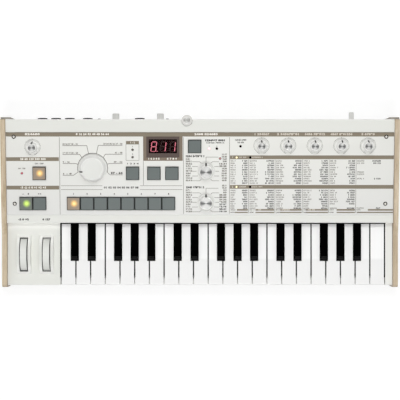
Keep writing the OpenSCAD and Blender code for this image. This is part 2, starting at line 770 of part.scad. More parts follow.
module program_dial() color(ivory) on_panel(dial_at.x, dial_at.y, 0) difference() {
    r = dial_d / 2;
    base = 0.8;
    rotate_extrude($fn = 96) polygon(concat([[0, -board_w + 1.2],
        [spindle_d / 2, -board_w + 1.2], [spindle_d / 2, base + 3], [r - 2, base + 3],
        [r - 2, base], [r, base], [r, base + 1.6], [r - 0.6, base + 2.2]],
        [for (a = [0:15:90]) [r - 5.2 + 2.6 * cos(a), dial_h - 2.6 + 2.6 * sin(a)]],
        [[r * 0.5, dial_h - 0.25], [0, dial_h - 0.35]]));
    // pointer groove across the sloped rim
    rotate([0, 0, pointer_at]) block([r - 3.6, -0.6, base + 2.2 - 0.4], [r + 1, 0.6, dial_h - 2]);
}

// ---- rear ----

module phone_socket(x) difference() {
    union() {
        block([x - 7.5, phone_mouth - phone_bore_l - 2, jack_board_z + board_t + seat],
            [x + 7.5, socket_face, socket_z + 6.5]);
        rod_y(socket_face - 1, phone_mouth, x, socket_z, barrel_d);
        translate([x, case_rear + seat + nut_t, socket_z]) rotate([90, 0, 0])
            cylinder(h = nut_t, d = nut_d, $fn = 6);
    }
    rod_y(phone_mouth - phone_bore_l, phone_mouth + 1, x, socket_z, phone_bore_d);
}

module din_socket(x) difference() {
    union() {
        block([x - 10, socket_face - 12, jack_board_z + board_t + seat],
            [x + 10, socket_face, socket_z + 10]);
        rod_y(socket_face - 1, case_rear - 0.3, x, socket_z, din_d);
    }
    difference() {
        rod_y(socket_face - 6, case_rear + 1, x, socket_z, din_d - 1.6);
        rod_y(socket_face - 7, socket_face - 3, x, socket_z, din_d - 3);
    }
    for (i = [-2:2]) translate([x + 5 * sin(i * 45), socket_face - 2, socket_z + 5 * cos(i * 45)])
        rotate([90, 0, 0]) cylinder(h = 4, d = 1.6, $fn = 8);
}

module dc_socket() difference() {
    union() {
        block([power_in_x - 5.5, socket_face - 11, jack_board_z + board_t + seat],
            [power_in_x + 5.5, socket_face, socket_z + 6]);
        rod_y(socket_face - 1, case_rear - 0.2, power_in_x, socket_z, dc_d);
    }
    difference() {
        rod_y(socket_face - 8, case_rear + 1, power_in_x, socket_z, 5.6);
        rod_y(socket_face - 9, case_rear - 1.5, power_in_x, socket_z, 2);
    }
}

module mic_socket() translate([mic_x, mic_y, 0]) difference() {
    top = surf(mic_y) + 0.6;
    union() {
        translate([0, 0, mic_z]) cylinder(h = top - mic_z, d = mic_d);
        block([-5, -16, mic_z], [5, 0, mic_z + 5]);
        block([-5, -16, jack_board_z + board_t + seat], [5, -11, mic_z + 5]);
    }
    translate([0, 0, top - 12]) cylinder(h = 20, d = mic_bore_d);
}

module rear_sockets() {
    color(board_green) block([-half_w + 23, case_rear - wall - jack_board_d, jack_board_z],
        [half_w - 26, case_rear - wall - 1, jack_board_z + board_t]);
    color(part_black) {
        for (x = phone_x) phone_socket(x);
        for (x = din_x) din_socket(x);
        dc_socket();
        for (x = switch_x) {
            block([x - 6, socket_face - 6, jack_board_z + board_t + seat],
                [x + 6, socket_face, socket_z + 3]);
            block([x - 3.2, socket_face - 1, socket_z - 1.8],
                [x + 0.4, case_rear + 2, socket_z + 1.8]);
        }
        for (x = input_x) difference() {
            block([x - 4.8, socket_face - 7, jack_board_z + board_t + seat],
                [x + 4.8, socket_face, socket_z + 5]);
            rod_y(socket_face - 6, socket_face + 1, x, socket_z, input_spindle_d + 2 * spindle_fit);
        }
        block([power_x - 6, socket_face - 15, jack_board_z + board_t + seat],
            [power_x + 6, power_body_y, socket_z + 6]);
    }
    color(rubber_grey) mic_socket();
}

module power_button() color(pale_grey) {
    x = power_x;
    block([x - power_s / 2, power_end_y, socket_z - power_s / 2],
        [x + power_s / 2, overall_d / 2 - 0.6, socket_z + power_s / 2]);
    block([x - power_s / 2 + 0.6, overall_d / 2 - 1, socket_z - power_s / 2 + 0.6],
        [x + power_s / 2 - 0.6, overall_d / 2, socket_z + power_s / 2 - 0.6]);
    block([x - power_s / 2 - 1.4, socket_face - 1.5, socket_z - power_s / 2 - 1.4],
        [x + power_s / 2 + 1.4, socket_face, socket_z + power_s / 2 + 1.4]);
}

// ribbed knob on the rear wall
module input_knob(x) color(pale_grey) {
    ribs = 20;
    translate([x, case_rear + input_reach, socket_z]) rotate([90, 0, 0]) {
        linear_extrude(input_reach - 0.5) polygon([for (i = [0:2 * ribs - 1])
            (input_d / 2 - (i % 2) * 0.35) * [cos(i * 180 / ribs), sin(i * 180 / ribs)]]);
        cylinder(h = input_reach + wall + 5.8, d = input_spindle_d);
    }
}

module speakers() for (p = speaker_places) translate([p.x, p.y, floor_z + seat]) {
    r = p.z / 2;
    color(part_black) rotate_extrude() polygon([[r - 5, 0], [r, 0], [r, 2], [r - 2, 2],
        [r * 0.55, speaker_h - 9], [r * 0.55, speaker_h], [0, speaker_h],
        [0, speaker_h - 11], [r * 0.3, speaker_h - 11], [r - 6, 1.6]]);
}

module battery_cover() color(ivory) {
    x0 = bay_x - bay_w / 2 - bay_rim + cover_gap;
    x1 = bay_x + bay_w / 2 + bay_rim - cover_gap;
    y0 = bay_y - bay_d / 2 - bay_rim + cover_gap;
    y1 = bay_y + bay_d / 2 + bay_rim - cover_gap;
    difference() {
        block([x0, y0, foot_h], [x1, y1, foot_h + cover_t]);
        // finger recess
        translate([(x0 + x1) / 2, y0 + 8, foot_h - 1]) linear_extrude(1.8) {
            square([16, 6], center = true);
            for (s = [-1, 1]) translate([s * 8, 0]) circle(d = 6);
        }
    }
}

top_case();
control_panel();
bottom_case();
left_end_panel();
right_end_panel();
display_window();
display_module();
panel_leds();
control_board();
switches_and_pots();
keybed_frame();
key_pivot_rod();
key_contact_board();
wheel_bracket();
rear_sockets();
speakers();
battery_cover();
feet_and_bumpers();
panel_screws();
white_keys(0);  // c_keys
white_keys(1);  // d_keys
white_keys(2);  // e_keys
white_keys(3);  // f_keys
white_keys(4);  // g_keys
white_keys(5);  // a_keys
white_keys(6);  // b_keys
black_keys(0);  // c_sharp_keys
black_keys(1);  // d_sharp_keys
black_keys(3);  // f_sharp_keys
black_keys(4);  // g_sharp_keys
black_keys(5);  // a_sharp_keys
button(arpeggio_at);  // arpeggio_button
button([octave_l, row_low]);  // octave_down_button
button([octave_l + button_pitch, row_low]);  // octave_up_button
button(bank_at);  // bank_button
button(write_at);  // write_button
button(shift_at);  // shift_button
button(timbre_at);  // timbre_button
button([program_l, row_low]);  // program_button_1
button([program_l + button_pitch, row_low]);  // program_button_2
button([program_l + 2 * button_pitch, row_low]);  // program_button_3
button([program_l + 3 * button_pitch, row_low]);  // program_button_4
button([program_l + 4 * button_pitch, row_low]);  // program_button_5
button([program_l + 5 * button_pitch, row_low]);  // program_button_6
button([program_l + 6 * button_pitch, row_low]);  // program_button_7
button([program_l + 7 * button_pitch, row_low]);  // program_button_8
small_knob(0);  // volume_knob
small_knob(1);  // control_knob_1
small_knob(2);  // control_knob_2
small_knob(3);  // control_knob_3
small_knob(4);  // control_knob_4
small_knob(5);  // control_knob_5
edit_knob(0);  // edit_knob_1
edit_knob(1);  // edit_knob_2
program_dial();
wheel(wheel_x[0], -pitch_half, pitch_half);  // pitch_wheel
wheel(wheel_x[1], mod_from, mod_to);  // mod_wheel
input_knob(input_x[0]);  // input_knob_1
input_knob(input_x[1]);  // input_knob_2
power_button();
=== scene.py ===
import bpy
import bmesh
import json
import math
from mathutils import Matrix, Vector

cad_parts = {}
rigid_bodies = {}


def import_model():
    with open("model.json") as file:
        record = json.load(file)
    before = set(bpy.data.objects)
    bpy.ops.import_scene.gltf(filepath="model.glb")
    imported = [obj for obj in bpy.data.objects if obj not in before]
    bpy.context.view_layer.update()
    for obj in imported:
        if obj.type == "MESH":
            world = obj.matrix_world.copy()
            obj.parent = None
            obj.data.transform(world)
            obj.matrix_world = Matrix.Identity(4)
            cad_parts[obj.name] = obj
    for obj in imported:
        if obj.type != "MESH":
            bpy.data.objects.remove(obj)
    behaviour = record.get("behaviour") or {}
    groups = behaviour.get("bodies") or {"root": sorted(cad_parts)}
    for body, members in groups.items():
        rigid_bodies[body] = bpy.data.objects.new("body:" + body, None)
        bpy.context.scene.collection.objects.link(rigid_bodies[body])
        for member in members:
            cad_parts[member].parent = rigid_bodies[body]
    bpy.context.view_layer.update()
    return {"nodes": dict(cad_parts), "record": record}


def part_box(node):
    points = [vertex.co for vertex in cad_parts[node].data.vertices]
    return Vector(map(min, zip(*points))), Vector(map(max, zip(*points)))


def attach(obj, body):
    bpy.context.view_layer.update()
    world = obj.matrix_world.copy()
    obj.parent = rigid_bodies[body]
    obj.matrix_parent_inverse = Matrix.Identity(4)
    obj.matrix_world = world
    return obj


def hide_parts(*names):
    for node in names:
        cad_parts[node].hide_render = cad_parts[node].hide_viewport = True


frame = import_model()
nodes = frame["nodes"]
record = frame["record"]
joints = {joint["child"]: joint for joint in record["behaviour"]["joints"]}
mm = 0.001
body = "case"
print("frame loaded:", len(nodes), "nodes")

# The control plate's own axes: u to the right, v up its slope, w out of its face
plateOut = Vector(joints["volume_knob"]["axis"]).normalized()
plateUp = Vector((0, plateOut.z, -plateOut.y))
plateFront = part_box("control_panel")[0].y
knobFoot = Vector(joints["volume_knob"]["pos_m"])
plateStart = knobFoot - plateUp * ((knobFoot.y - plateFront) / plateUp.y)
plateStart.x = 0
plateFrame = Matrix.Translation(plateStart) @ Matrix((
    (1, 0, 0, 0), (0, plateUp.y, plateOut.y, 0), (0, plateUp.z, plateOut.z, 0), (0, 0, 0, 1)))
plateBack = plateFrame.inverted()
slope = math.atan2(plateUp.z, plateUp.y)
smallKnobs = ["volume_knob"] + [f"control_knob_{i}" for i in range(1, 6)]
editKnobs = ["edit_knob_1", "edit_knob_2"]
wheels = ("pitch_wheel", "mod_wheel")


def middle(node):
    low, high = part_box(node)
    return (Vector(low) + Vector(high)) / 2


# where a control turns, on the plate's face
def footOf(node):
    return Vector(joints[node]["pos_m"])


# u and v of a control on the plate, mm
def spot(node):
    local = plateBack @ (footOf(node) if joints[node]["type"] == "hinge" else middle(node))
    return local.x / mm, local.y / mm


# lowest and highest corner of each loose solid in a node, left to right
def islands(node):
    work = bmesh.new()
    work.from_mesh(nodes[node].data)
    bmesh.ops.remove_doubles(work, verts=work.verts, dist=1e-6)
    left, found = set(work.verts), []
    while left:
        group, queue = [], [left.pop()]
        while queue:
            vert = queue.pop()
            group.append(vert.co.copy())
            for edge in vert.link_edges:
                other = edge.other_vert(vert)
                if other in left:
                    left.remove(other)
                    queue.append(other)
        low = Vector(min(p[i] for p in group) for i in range(3))
        high = Vector(max(p[i] for p in group) for i in range(3))
        found.append((low, high))
    work.free()
    return sorted(found, key=lambda pair: (round(pair[0].x, 4), pair[0].y))


# first point of a node's surface along a ray, and the way it faces
def skin(node, origin, direction):
    hit, place, normal, _ = nodes[node].ray_cast(origin, direction)
    return (place, normal) if hit else (None, None)


def newObject(name, data):
    thing = bpy.data.objects.new(name, data)
    bpy.context.scene.collection.objects.link(thing)
    return thing


# an object's final shape as a plain mesh; the object itself goes
def takeMesh(thing):
    mesh = bpy.data.meshes.new_from_object(thing.evaluated_get(
        bpy.context.evaluated_depsgraph_get()))
    bpy.data.objects.remove(thing)
    return mesh


# a node group; an input is given by its first value or its kind, an output by its kind
def newGroup(family, name, inputs, outputs):
    tree = bpy.data.node_groups.new(name, family + "NodeTree")
    for way, sockets in (("INPUT", inputs), ("OUTPUT", outputs)):
        for title, value in sockets.items():
            kind = value if isinstance(value, str) else {float: "Float", int: "Int"}.get(
                type(value)) or ("Vector", "Color")[len(value) > 3]
            socket = tree.interface.new_socket(title, in_out=way, socket_type="NodeSocket" + kind)
            if kind != value:
                socket.default_value = value
    return tree, tree.nodes.new("NodeGroupInput").outputs, tree.nodes.new("NodeGroupOutput")


# a value, or another node's socket, into an input
def connect(socket, value):
    if isinstance(value, bpy.types.NodeSocket):
        socket.id_data.links.new(value, socket)
    else:
        socket.default_value = value


# a node with its settings and inputs
def add(tree, kind, links=None, **settings):
    node = tree.nodes.new(kind)
    for key, value in settings.items():
        setattr(node, key, value)
    for key, value in (links or {}).items():
        connect(node.inputs[key], value)
    return node


# inputs of a node by name, with _ for a space
def feed(node, **values):
    for key, value in values.items():
        connect(node.inputs[key.replace("_", " ")], value)


# sums in the tree that the first socket among the values belongs to
def maths(operation, *values):
    tree = next(v for v in values if isinstance(v, bpy.types.NodeSocket)).id_data
    return add(tree, "ShaderNodeMath", dict(enumerate(values)), operation=operation).outputs[0]


def plus(a, b):
    return maths("ADD", a, b)


def minus(a, b):
    return maths("SUBTRACT", a, b)


def times(a, b):
    return maths("MULTIPLY", a, b)


def vectors(operation, a, b):
    return add(a.id_data, "ShaderNodeVectorMath", {0: a, 1: b}, operation=operation).outputs[0]


def joinAxes(tree, x=0.0, y=0.0, z=0.0):
    return add(tree, "ShaderNodeCombineXYZ", {0: x, 1: y, 2: z}).outputs[0]


def objectPlace(tree):
    return add(tree, "ShaderNodeTexCoord").outputs["Object"]


def noise(vector, scale, detail, rough=0.5):
    return add(vector.id_data, "ShaderNodeTexNoise", {"Vector": vector, "Scale": scale,
        "Detail": detail, "Roughness": rough}).outputs[0]


# a mix of two colours
def blend(share, low, high):
    return add(share.id_data, "ShaderNodeMix", {0: share, 6: low, 7: high},
        data_type="RGBA").outputs[2]


def ramp(value, low, high, start=0.0, end=1.0):
    return add(value.id_data, "ShaderNodeMapRange", {"Value": value, "From Min": low,
        "From Max": high, "To Min": start, "To Max": end}, clamp=True,
        interpolation_type="SMOOTHSTEP").outputs[0]


textureOutputs = {"Color": "Color", "Roughness": "Float", "Height": "Float"}


# fine moulded or sprayed texture with slow smudges
def grainGroup():
    tree, given, end = newGroup("Shader", "fineGrain", {"Grain Size": 1800.0,
        "Smudge Size": 14.0, "Tint": 0.02, "Base": (1, 1, 1, 1), "Rough": 0.4,
        "Rough Change": 0.08}, textureOutputs)
    coords = objectPlace(tree)
    fine = noise(coords, given["Grain Size"], 2.0)
    slow = noise(coords, given["Smudge Size"], 4.0, 0.6)
    drift = minus(slow, 0.5)
    fleck = minus(fine, 0.5)
    both = plus(drift, times(fleck, 0.6))
    bright = plus(1.0, times(both, given["Tint"]))
    rough = plus(given["Rough"], times(drift, given["Rough Change"]))
    feed(end, Color=vectors("MULTIPLY", given["Base"], bright), Roughness=rough, Height=fine)
    return tree


# distance from a control's own axis, height above its foot, and places across and along
def axisGroup():
    tree, given, end = newGroup("Shader", "roundAxis", {"Centre": (0, 0, 0), "Tilt": 0.0},
        dict.fromkeys(("Radius", "Height", "Across", "Along"), "Float"))
    away = vectors("SUBTRACT", objectPlace(tree), given["Centre"])
    turned = add(tree, "ShaderNodeVectorRotate", {"Vector": away, "Angle": given["Tilt"]},
        rotation_type="X_AXIS").outputs[0]
    x, y, z = add(tree, "ShaderNodeSeparateXYZ", {0: turned}).outputs
    flat = plus(times(x, x), times(y, y))
    feed(end, Radius=maths("SQRT", flat), Height=z, Across=x, Along=y)
    return tree


# 1 on faces turned away from a direction: worn or shaded edges of caps and keys
def shoulderGroup():
    tree, given, end = newGroup("Shader", "shoulder", {"Facing": (0, 0, 1), "Flat": 0.995,
        "Turned": 0.8}, {"Mask": "Float"})
    normal = add(tree, "ShaderNodeNewGeometry").outputs["True Normal"]
    dot = add(tree, "ShaderNodeVectorMath", {0: normal, 1: given["Facing"]},
        operation="DOT_PRODUCT").outputs["Value"]
    feed(end, Mask=ramp(dot, given["Turned"], given["Flat"], 1.0, 0.0))
    return tree


# straight grain along the panel, with broad and fine streaks and pores
def woodGroup():
    tree, given, end = newGroup("Shader", "woodGrain", {"Pale": (0.6, 0.5, 0.37, 1),
        "Dark": (0.42, 0.32, 0.2, 1), "Seed": 0.0}, textureOutputs)
    moved = vectors("ADD", objectPlace(tree), joinAxes(tree, given["Seed"], 0.0, given["Seed"]))
    bent = add(tree, "ShaderNodeTexNoise", {"Vector": moved, "Scale": 9.0, "Detail": 2.0})
    sway = vectors("MULTIPLY", bent.outputs[1], (0.014, 0.0, 0.014))
    stretched = vectors("MULTIPLY", vectors("ADD", moved, sway), (1.0, 0.045, 1.0))
    broad, fine, pores = [ramp(noise(stretched, scale, detail, 0.55), low, high)
        for scale, detail, low, high in ((170.0, 3.0, 0.34, 0.66), (900.0, 2.0, 0.3, 0.7),
            (2600.0, 1.0, 0.62, 0.72))]
    share = plus(times(broad, 0.6), times(fine, 0.35))
    mixed = blend(share, given["Pale"], given["Dark"])
    feed(end, Color=blend(times(pores, 0.35), mixed,
        (0.2, 0.13, 0.07, 1)), Roughness=maths("MULTIPLY_ADD", share, 0.12, 0.42),
        Height=minus(fine, times(pores, 0.8)))
    return tree


groups = {"grain": grainGroup(), "axis": axisGroup(), "shoulder": shoulderGroup(),
    "wood": woodGroup()}
print("shader groups built:", ", ".join(groups))


# a colour written in 0 to 255 as it looks on screen
def linear(red, green, blue):
    def one(value):
        value /= 255
        return value / 12.92 if value < 0.04045 else ((value + 0.055) / 1.055) ** 2.4
    return (one(red), one(green), one(blue), 1.0)


# a material with one Principled shader; settings go straight on its sockets
def finish(name, **settings):
    material = bpy.data.materials.new(name)
    material.use_nodes = True
    shader = material.node_tree.nodes["Principled BSDF"]
    feed(shader, **settings)
    return material, material.node_tree, shader


def useGroup(tree, name, **values):
    node = add(tree, "ShaderNodeGroup", node_tree=groups[name])
    feed(node, **values)
    return node.outputs


# mask of the faces turned away from the plate's own direction
def offPlate(tree, flat, turned):
    return useGroup(tree, "shoulder", Facing=tuple(plateOut), Flat=flat, Turned=turned)[0]


# surface relief; depth in mm
def bump(shader, height, strength, depth):
    feed(shader, Normal=add(shader.id_data, "ShaderNodeBump", {"Height": height,
        "Strength": strength, "Distance": depth * mm}).outputs[0])


# plastic, paint, metal or rubber with its own texture; colour is fixed or made in the tree
def grained(name, colour, rough, grain=1800.0, depth=0.04, tint=0.03, smudge=14.0,
        change=0.1, strength=0.5, **settings):
    material, tree, shader = finish(name, **settings)
    texture = useGroup(tree, "grain", Grain_Size=grain, Tint=tint, Rough=rough,
        Base=colour(tree) if callable(colour) else colour, Rough_Change=change, Smudge_Size=smudge)
    feed(shader, Base_Color=texture["Color"], Roughness=texture["Roughness"])
    bump(shader, texture["Height"], strength, depth)
    return material


# the surface's own height above the ground, or its place along x or y
def heightOf(tree, axis=2):
    return add(tree, "ShaderNodeSeparateXYZ", {0: objectPlace(tree)}).outputs[axis]


# 1 where the surface lies nearer than half to a plane across the axis
def within(tree, axis, centre, half, soft=0.0002):
    away = maths("ABSOLUTE", minus(heightOf(tree, axis), centre))
    return ramp(away, half + soft, half)


# front and rear: colours of a painted light gradient up the plate; walls: painted shade on the
# walls of the openings
plateLook = {"front": (204, 204, 202), "rear": (217, 217, 212), "walls": (46, 44, 40)}


# silver-white sprayed plate with a faint sparkle; its colour holds a painted light gradient,
# darker at the front and paler at the rear, and painted shade on the walls of its openings
def silverLacquer():
    low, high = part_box("control_panel")

    def colour(tree):
        # painted light: the face grows paler up the slope
        rise = ramp(heightOf(tree), low.z, high.z)
        face = blend(rise, linear(*plateLook["front"]), linear(*plateLook["rear"]))
        # painted shade on the walls of the openings
        return blend(offPlate(tree, 0.7, 0.4), face, linear(*plateLook["walls"]))
    return grained("silverLacquer", colour, 0.42, grain=4200.0, depth=0.02, tint=0.07,
        smudge=9.0, strength=0.3, Metallic=0.15, Coat_Weight=0.1, Coat_Roughness=0.25)


# joint: colour of the painted shade along the panel's joint with the case
woodLook = {"left": ((208, 192, 166), (172, 151, 118)),
    "right": ((210, 194, 170), (177, 157, 129)), "joint": (92, 70, 62)}


# oiled panel with painted shade where it meets the case at x = edge
def satinWood(name, seed, tones, edge):
    material, tree, shader = finish(name, Coat_Weight=0.15, Coat_Roughness=0.35)
    grain = useGroup(tree, "wood", Seed=seed, Pale=linear(*tones[0]), Dark=linear(*tones[1]))
    # painted shade in the corner against the case
    joint = times(within(tree, 0, edge, 0.7 * mm), 0.45)
    feed(shader, Base_Color=blend(joint, grain["Color"],
        linear(*woodLook["joint"])), Roughness=grain["Roughness"])
    bump(shader, grain["Height"], 0.4, 0.08)
    return material


# colours of a key's top, flanks, gap and front bevel, and the lines along the bevel; rear and side
# are painted light, deep is painted shade down in the gaps, gapShade is how far painted shade
# reaches beside them, and on the black keys the bevel and its lines are painted highlights
whiteLook = {"top": (245, 245, 244), "rear": (255, 255, 254), "side": (252, 252, 251),
    "deep": (22, 22, 21), "bevel": (241, 241, 240), "line": (241, 241, 240), "half": 0.3,
    "rough": 0.24, "coat": 0.2, "shine": 0.5, "gapShade": 0.24,
    "level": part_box("c_keys")[1].z, "front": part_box("c_keys")[0].y}
blackLook = {"top": (3, 3, 3), "rear": (3, 3, 3), "side": (2, 2, 2), "deep": (1, 1, 1),
    "bevel": (8, 8, 8), "line": (80, 80, 80), "half": 0.12, "rough": 0.4, "coat": 0.0,
    "shine": 0.0, "level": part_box("c_sharp_keys")[1].z, "front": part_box("c_sharp_keys")[0].y}
# painted highlight lines across the front bevel, at these distances
bevelHighlights = (1.7, 4.4)  # behind the key's front edge, mm
keyFront = whiteLook["front"]


# mask of the white keys' long edges, as far as reach from the gap between them, for painted shade
# there
def besideGaps(tree, reach):
    first, second = islands("c_keys")[0], islands("d_keys")[0]
    gap = second[0].x - first[1].x
    pitch = second[0].x - first[0].x
    across = minus(heightOf(tree, 0), first[1].x + gap / 2)
    away = maths("PINGPONG", across, pitch / 2)
    return ramp(away, gap / 2 + reach + 0.05 * mm, gap / 2 + reach - 0.05 * mm)


# glossy key with painted shade on its flanks towards the bottom of the gaps and along the gaps'
# edges, a top painted paler towards its rear, and painted highlights on its front bevel
def keyFinish(name, look):
    tone = {key: linear(*value) for key, value in look.items() if isinstance(value, tuple)}

    def colour(tree):
        back = heightOf(tree, 1)
        # painted shade: the flanks darken towards the bottom of the gaps, except near the front
        depth = ramp(heightOf(tree), look["level"] - 0.7 * mm, look["level"] - 0.02 * mm, 1.0, 0.0)
        behind = ramp(back, keyFront + 9 * mm, keyFront + 10 * mm)
        side = blend(times(depth, behind), tone["side"], tone["deep"])
        # painted light: the top grows paler between the black keys
        between = ramp(back, blackLook["front"] - 1 * mm, blackLook["front"] + 4 * mm)
        top = blend(between, tone["top"], tone["rear"])
        flank = useGroup(tree, "shoulder", Flat=0.9, Turned=0.2)[0]
        sloping = useGroup(tree, "shoulder", Facing=(0.0, -0.8, 0.6), Flat=0.97, Turned=0.9)[0]
        # painted highlight lines across the front bevel
        lines = maths("MAXIMUM", *[within(tree, 1, look["front"] + line * mm,
            look["half"] * mm) for line in bevelHighlights])
        front = blend(lines, tone["bevel"], tone["line"])
        shade = blend(sloping, front, blend(flank, top, side))
        # painted shade along the edges of the gaps
        if "gapShade" in look:
            gapShade = times(besideGaps(tree, look["gapShade"] * mm), behind)
            shade = blend(gapShade, shade, tone["deep"])
        return shade
    return grained(name, colour, look["rough"], grain=900.0, depth=0.01, tint=0.015,
        smudge=30.0, change=0.12, strength=0.15, Coat_Weight=look["coat"],
        Coat_Roughness=0.08, Specular_IOR_Level=look["shine"])


# colours of a button, with edge the painted shade on its bevels, and how far its lamp's glow
# reaches, mm
buttonLook = {"top": linear(86, 95, 93), "edge": linear(28, 31, 30), "rough": 0.38,
    "glowShift": 0.9, "core": (6.2, 1.2), "heart": (3.4, 0.6)}


# grey-green cap with painted shade on its bevels; a lit one glows round its middle
def buttonFinish(name, node=None, glow=None):
    def bevels(tree):
        return offPlate(tree, 0.99, 0.93)
    # painted shade on the bevels
    material = grained(name, lambda tree: blend(bevels(tree), buttonLook["top"],
        buttonLook["edge"]), buttonLook["rough"], grain=2200.0, depth=0.03, tint=0.05,
        smudge=60.0, strength=0.3)
    if glow:
        tree = material.node_tree
        centre = middle(node) + Vector((buttonLook["glowShift"] * mm, 0, 0))
        radius = useGroup(tree, "axis", Centre=tuple(centre), Tilt=-slope)["Radius"]
        light = glow["tint"]
        for zone in ("core", "heart"):
            outer, inner = buttonLook[zone]
            light = blend(ramp(radius, outer * mm, inner * mm), light, glow[zone])
        inside = minus(1.0, bevels(tree))
        feed(tree.nodes["Principled BSDF"], Emission_Strength=1.0,
            Emission_Color=vectors("MULTIPLY", light, inside))
    return material


# skirt: painted light on the knob's steep skirt; metal and wedge: the painted reflection on the
# cap
knobLook = {"face": (226, 227, 222), "skirt": (251, 251, 248), "metal": (176, 176, 174),
    "wedge": (58, 58, 58)}


def onSkirt(tree):
    return offPlate(tree, 0.985, 0.8)


# ivory knob with a spun metal cap: rings in the bump, a painted reflection of light and dark
# wedges in the colour, and painted light that makes the steep skirt paler than the face
def knobFinish(name, node, capRadius, top, spread, metallic):
    material, tree, shader = finish(name)
    tone = {key: linear(*value) for key, value in knobLook.items()}
    axis = useGroup(tree, "axis", Centre=tuple(footOf(node)), Tilt=-slope)
    radius = axis["Radius"]
    cap = times(ramp(radius, capRadius + 0.1 * mm, capRadius - 0.1 * mm),
        ramp(axis["Height"], top - 0.8 * mm, top - 0.5 * mm))
    # painted reflection: dark wedges to the left and right of the cap's middle
    turn = maths("COSINE", maths("ARCTAN2", axis["Along"], axis["Across"]))
    wedge = maths("POWER", maths("ABSOLUTE", turn), spread)
    scratch = noise(joinAxes(tree, radius), 9000.0, 2.0)
    shade = times(wedge, maths("MULTIPLY_ADD", scratch, 0.5, 0.65))
    metal = blend(shade, tone["metal"], tone["wedge"])
    # painted light: the skirt paler than the face
    plastic = useGroup(tree, "grain", Grain_Size=2400.0, Tint=0.03, Rough=0.42,
        Rough_Change=0.08, Smudge_Size=50.0,
        Base=blend(onSkirt(tree), tone["face"], tone["skirt"]))
    feed(shader, Base_Color=blend(cap, plastic["Color"], metal), Metallic=times(cap, metallic),
        Roughness=maths("MULTIPLY_ADD", cap, -0.12, plastic["Roughness"]))
    rings = maths("SINE", times(radius, 26000.0))
    bump(shader, times(rings, cap), 0.25, 0.03)
    return material


windowLook = {"smoke": (32, 8, 8), "border": (96, 84, 79), "clear": (18.5, 9.2), "lift": 0.8,
    "alpha": 0.3}


# smoked acrylic with a printed border round the digits
def smokedWindow():
    material, tree, shader = finish("smokedWindow", IOR=1.49, Specular_IOR_Level=0.12)
    place = useGroup(tree, "axis", Centre=tuple(middle("display_window")), Tilt=-slope)
    wide, tall = windowLook["clear"]
    along = minus(place["Along"], windowLook["lift"] * mm)
    border = maths("MAXIMUM", *[
        ramp(maths("ABSOLUTE", way), (half - 0.1) * mm, (half + 0.1) * mm)
        for way, half in ((place["Across"], wide), (along, tall))])
    clear = windowLook["alpha"]
    feed(shader, Base_Color=blend(border, linear(*windowLook["smoke"]),
        linear(*windowLook["border"])), Alpha=maths("MULTIPLY_ADD", border, 1 - clear, clear),
        Roughness=maths("MULTIPLY_ADD", noise(objectPlace(tree), 60.0, 3.0), 0.05, 0.04))
    return material


# one moulding in two colours; share gives the mask in the material's own tree
def twoTone(name, low, high, share, rough):
    return grained(name, lambda tree: blend(share(tree), linear(*low), linear(*high)),
        rough, tint=0.05, smudge=40.0, strength=0.4)


def overFeet(tree):
    return ramp(heightOf(tree), 5 * mm, 6 * mm)


socketLook = {"black": (30, 30, 31), "bore": (252, 252, 250), "housing": (212, 211, 206),
    "reach": 9.0}


# black sockets, but a pale one with a white bore for the microphone
def socketFinish():
    mount = next(m for m in record["mounts"] if m["name"] == "microphone_socket")
    bore, reach = mount["dims"]["r_mm"] * mm, socketLook["reach"] * mm
    black, white, housing = [linear(*socketLook[key]) for key in ("black", "bore", "housing")]

    def colour(tree):
        radius = useGroup(tree, "axis", Centre=tuple(mount["pos_m"]))["Radius"]
        outside = ramp(radius, bore + 0.1 * mm, bore + 0.3 * mm)
        near = ramp(radius, reach, reach - 0.5 * mm)
        return blend(near, black, blend(outside, white, housing))
    return grained("socketBlack", colour, 0.38, tint=0.05, smudge=40.0, strength=0.4)


# lifted: painted light on slopes and shaded decks; slots: painted shade in the wheel slots
caseLook = {"lifted": (250, 250, 246), "slots": (10, 10, 10), "slotHalf": (6.2, 27.6),
    "deckTop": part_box("c_keys")[1].z + 1 * mm, "lip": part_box("control_panel")[0].y - 10.2 * mm,
    "end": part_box("c_keys")[1].x}


# mask of the walls of the two wheel slots, where shade is painted
def insideSlots(tree):
    wall = useGroup(tree, "shoulder", Flat=0.6, Turned=0.4)[0]
    wide, long = caseLook["slotHalf"]
    near = [within(tree, 0, middle(node).x, wide * mm) for node in wheels]
    along = within(tree, 1, middle("pitch_wheel").y, long * mm)
    return times(wall, times(along, maths("MAXIMUM", *near)))


# ivory moulding with painted light on its slopes and on the deck under the lip and right of the
# keys, and painted shade inside the wheel slots
def caseFinish():
    def colour(tree):
        sloped = useGroup(tree, "shoulder", Flat=0.985, Turned=0.8)[0]
        deck = ramp(heightOf(tree), caseLook["deckTop"], caseLook["deckTop"] - 1 * mm)
        lip = ramp(heightOf(tree, 1), caseLook["lip"] - 12 * mm, caseLook["lip"])
        end = ramp(heightOf(tree, 0), caseLook["end"], caseLook["end"] + 1 * mm)
        # painted light on slopes and on the deck under the lip and right of the keys
        lifted = maths("MAXIMUM", sloped, times(deck, maths("MAXIMUM", lip, times(end, 0.6))))
        tone = blend(lifted, paint["ivory"], linear(*caseLook["lifted"]))
        # painted shade inside the wheel slots
        return blend(insideSlots(tree), tone, linear(*caseLook["slots"]))
    return grained("ivoryCase", colour, 0.45, depth=0.05)


# edge: painted shade on the shoulders and where the wheel dips into its slot
wheelLook = {"face": (226, 227, 222), "edge": (62, 62, 59), "open": 21.0}


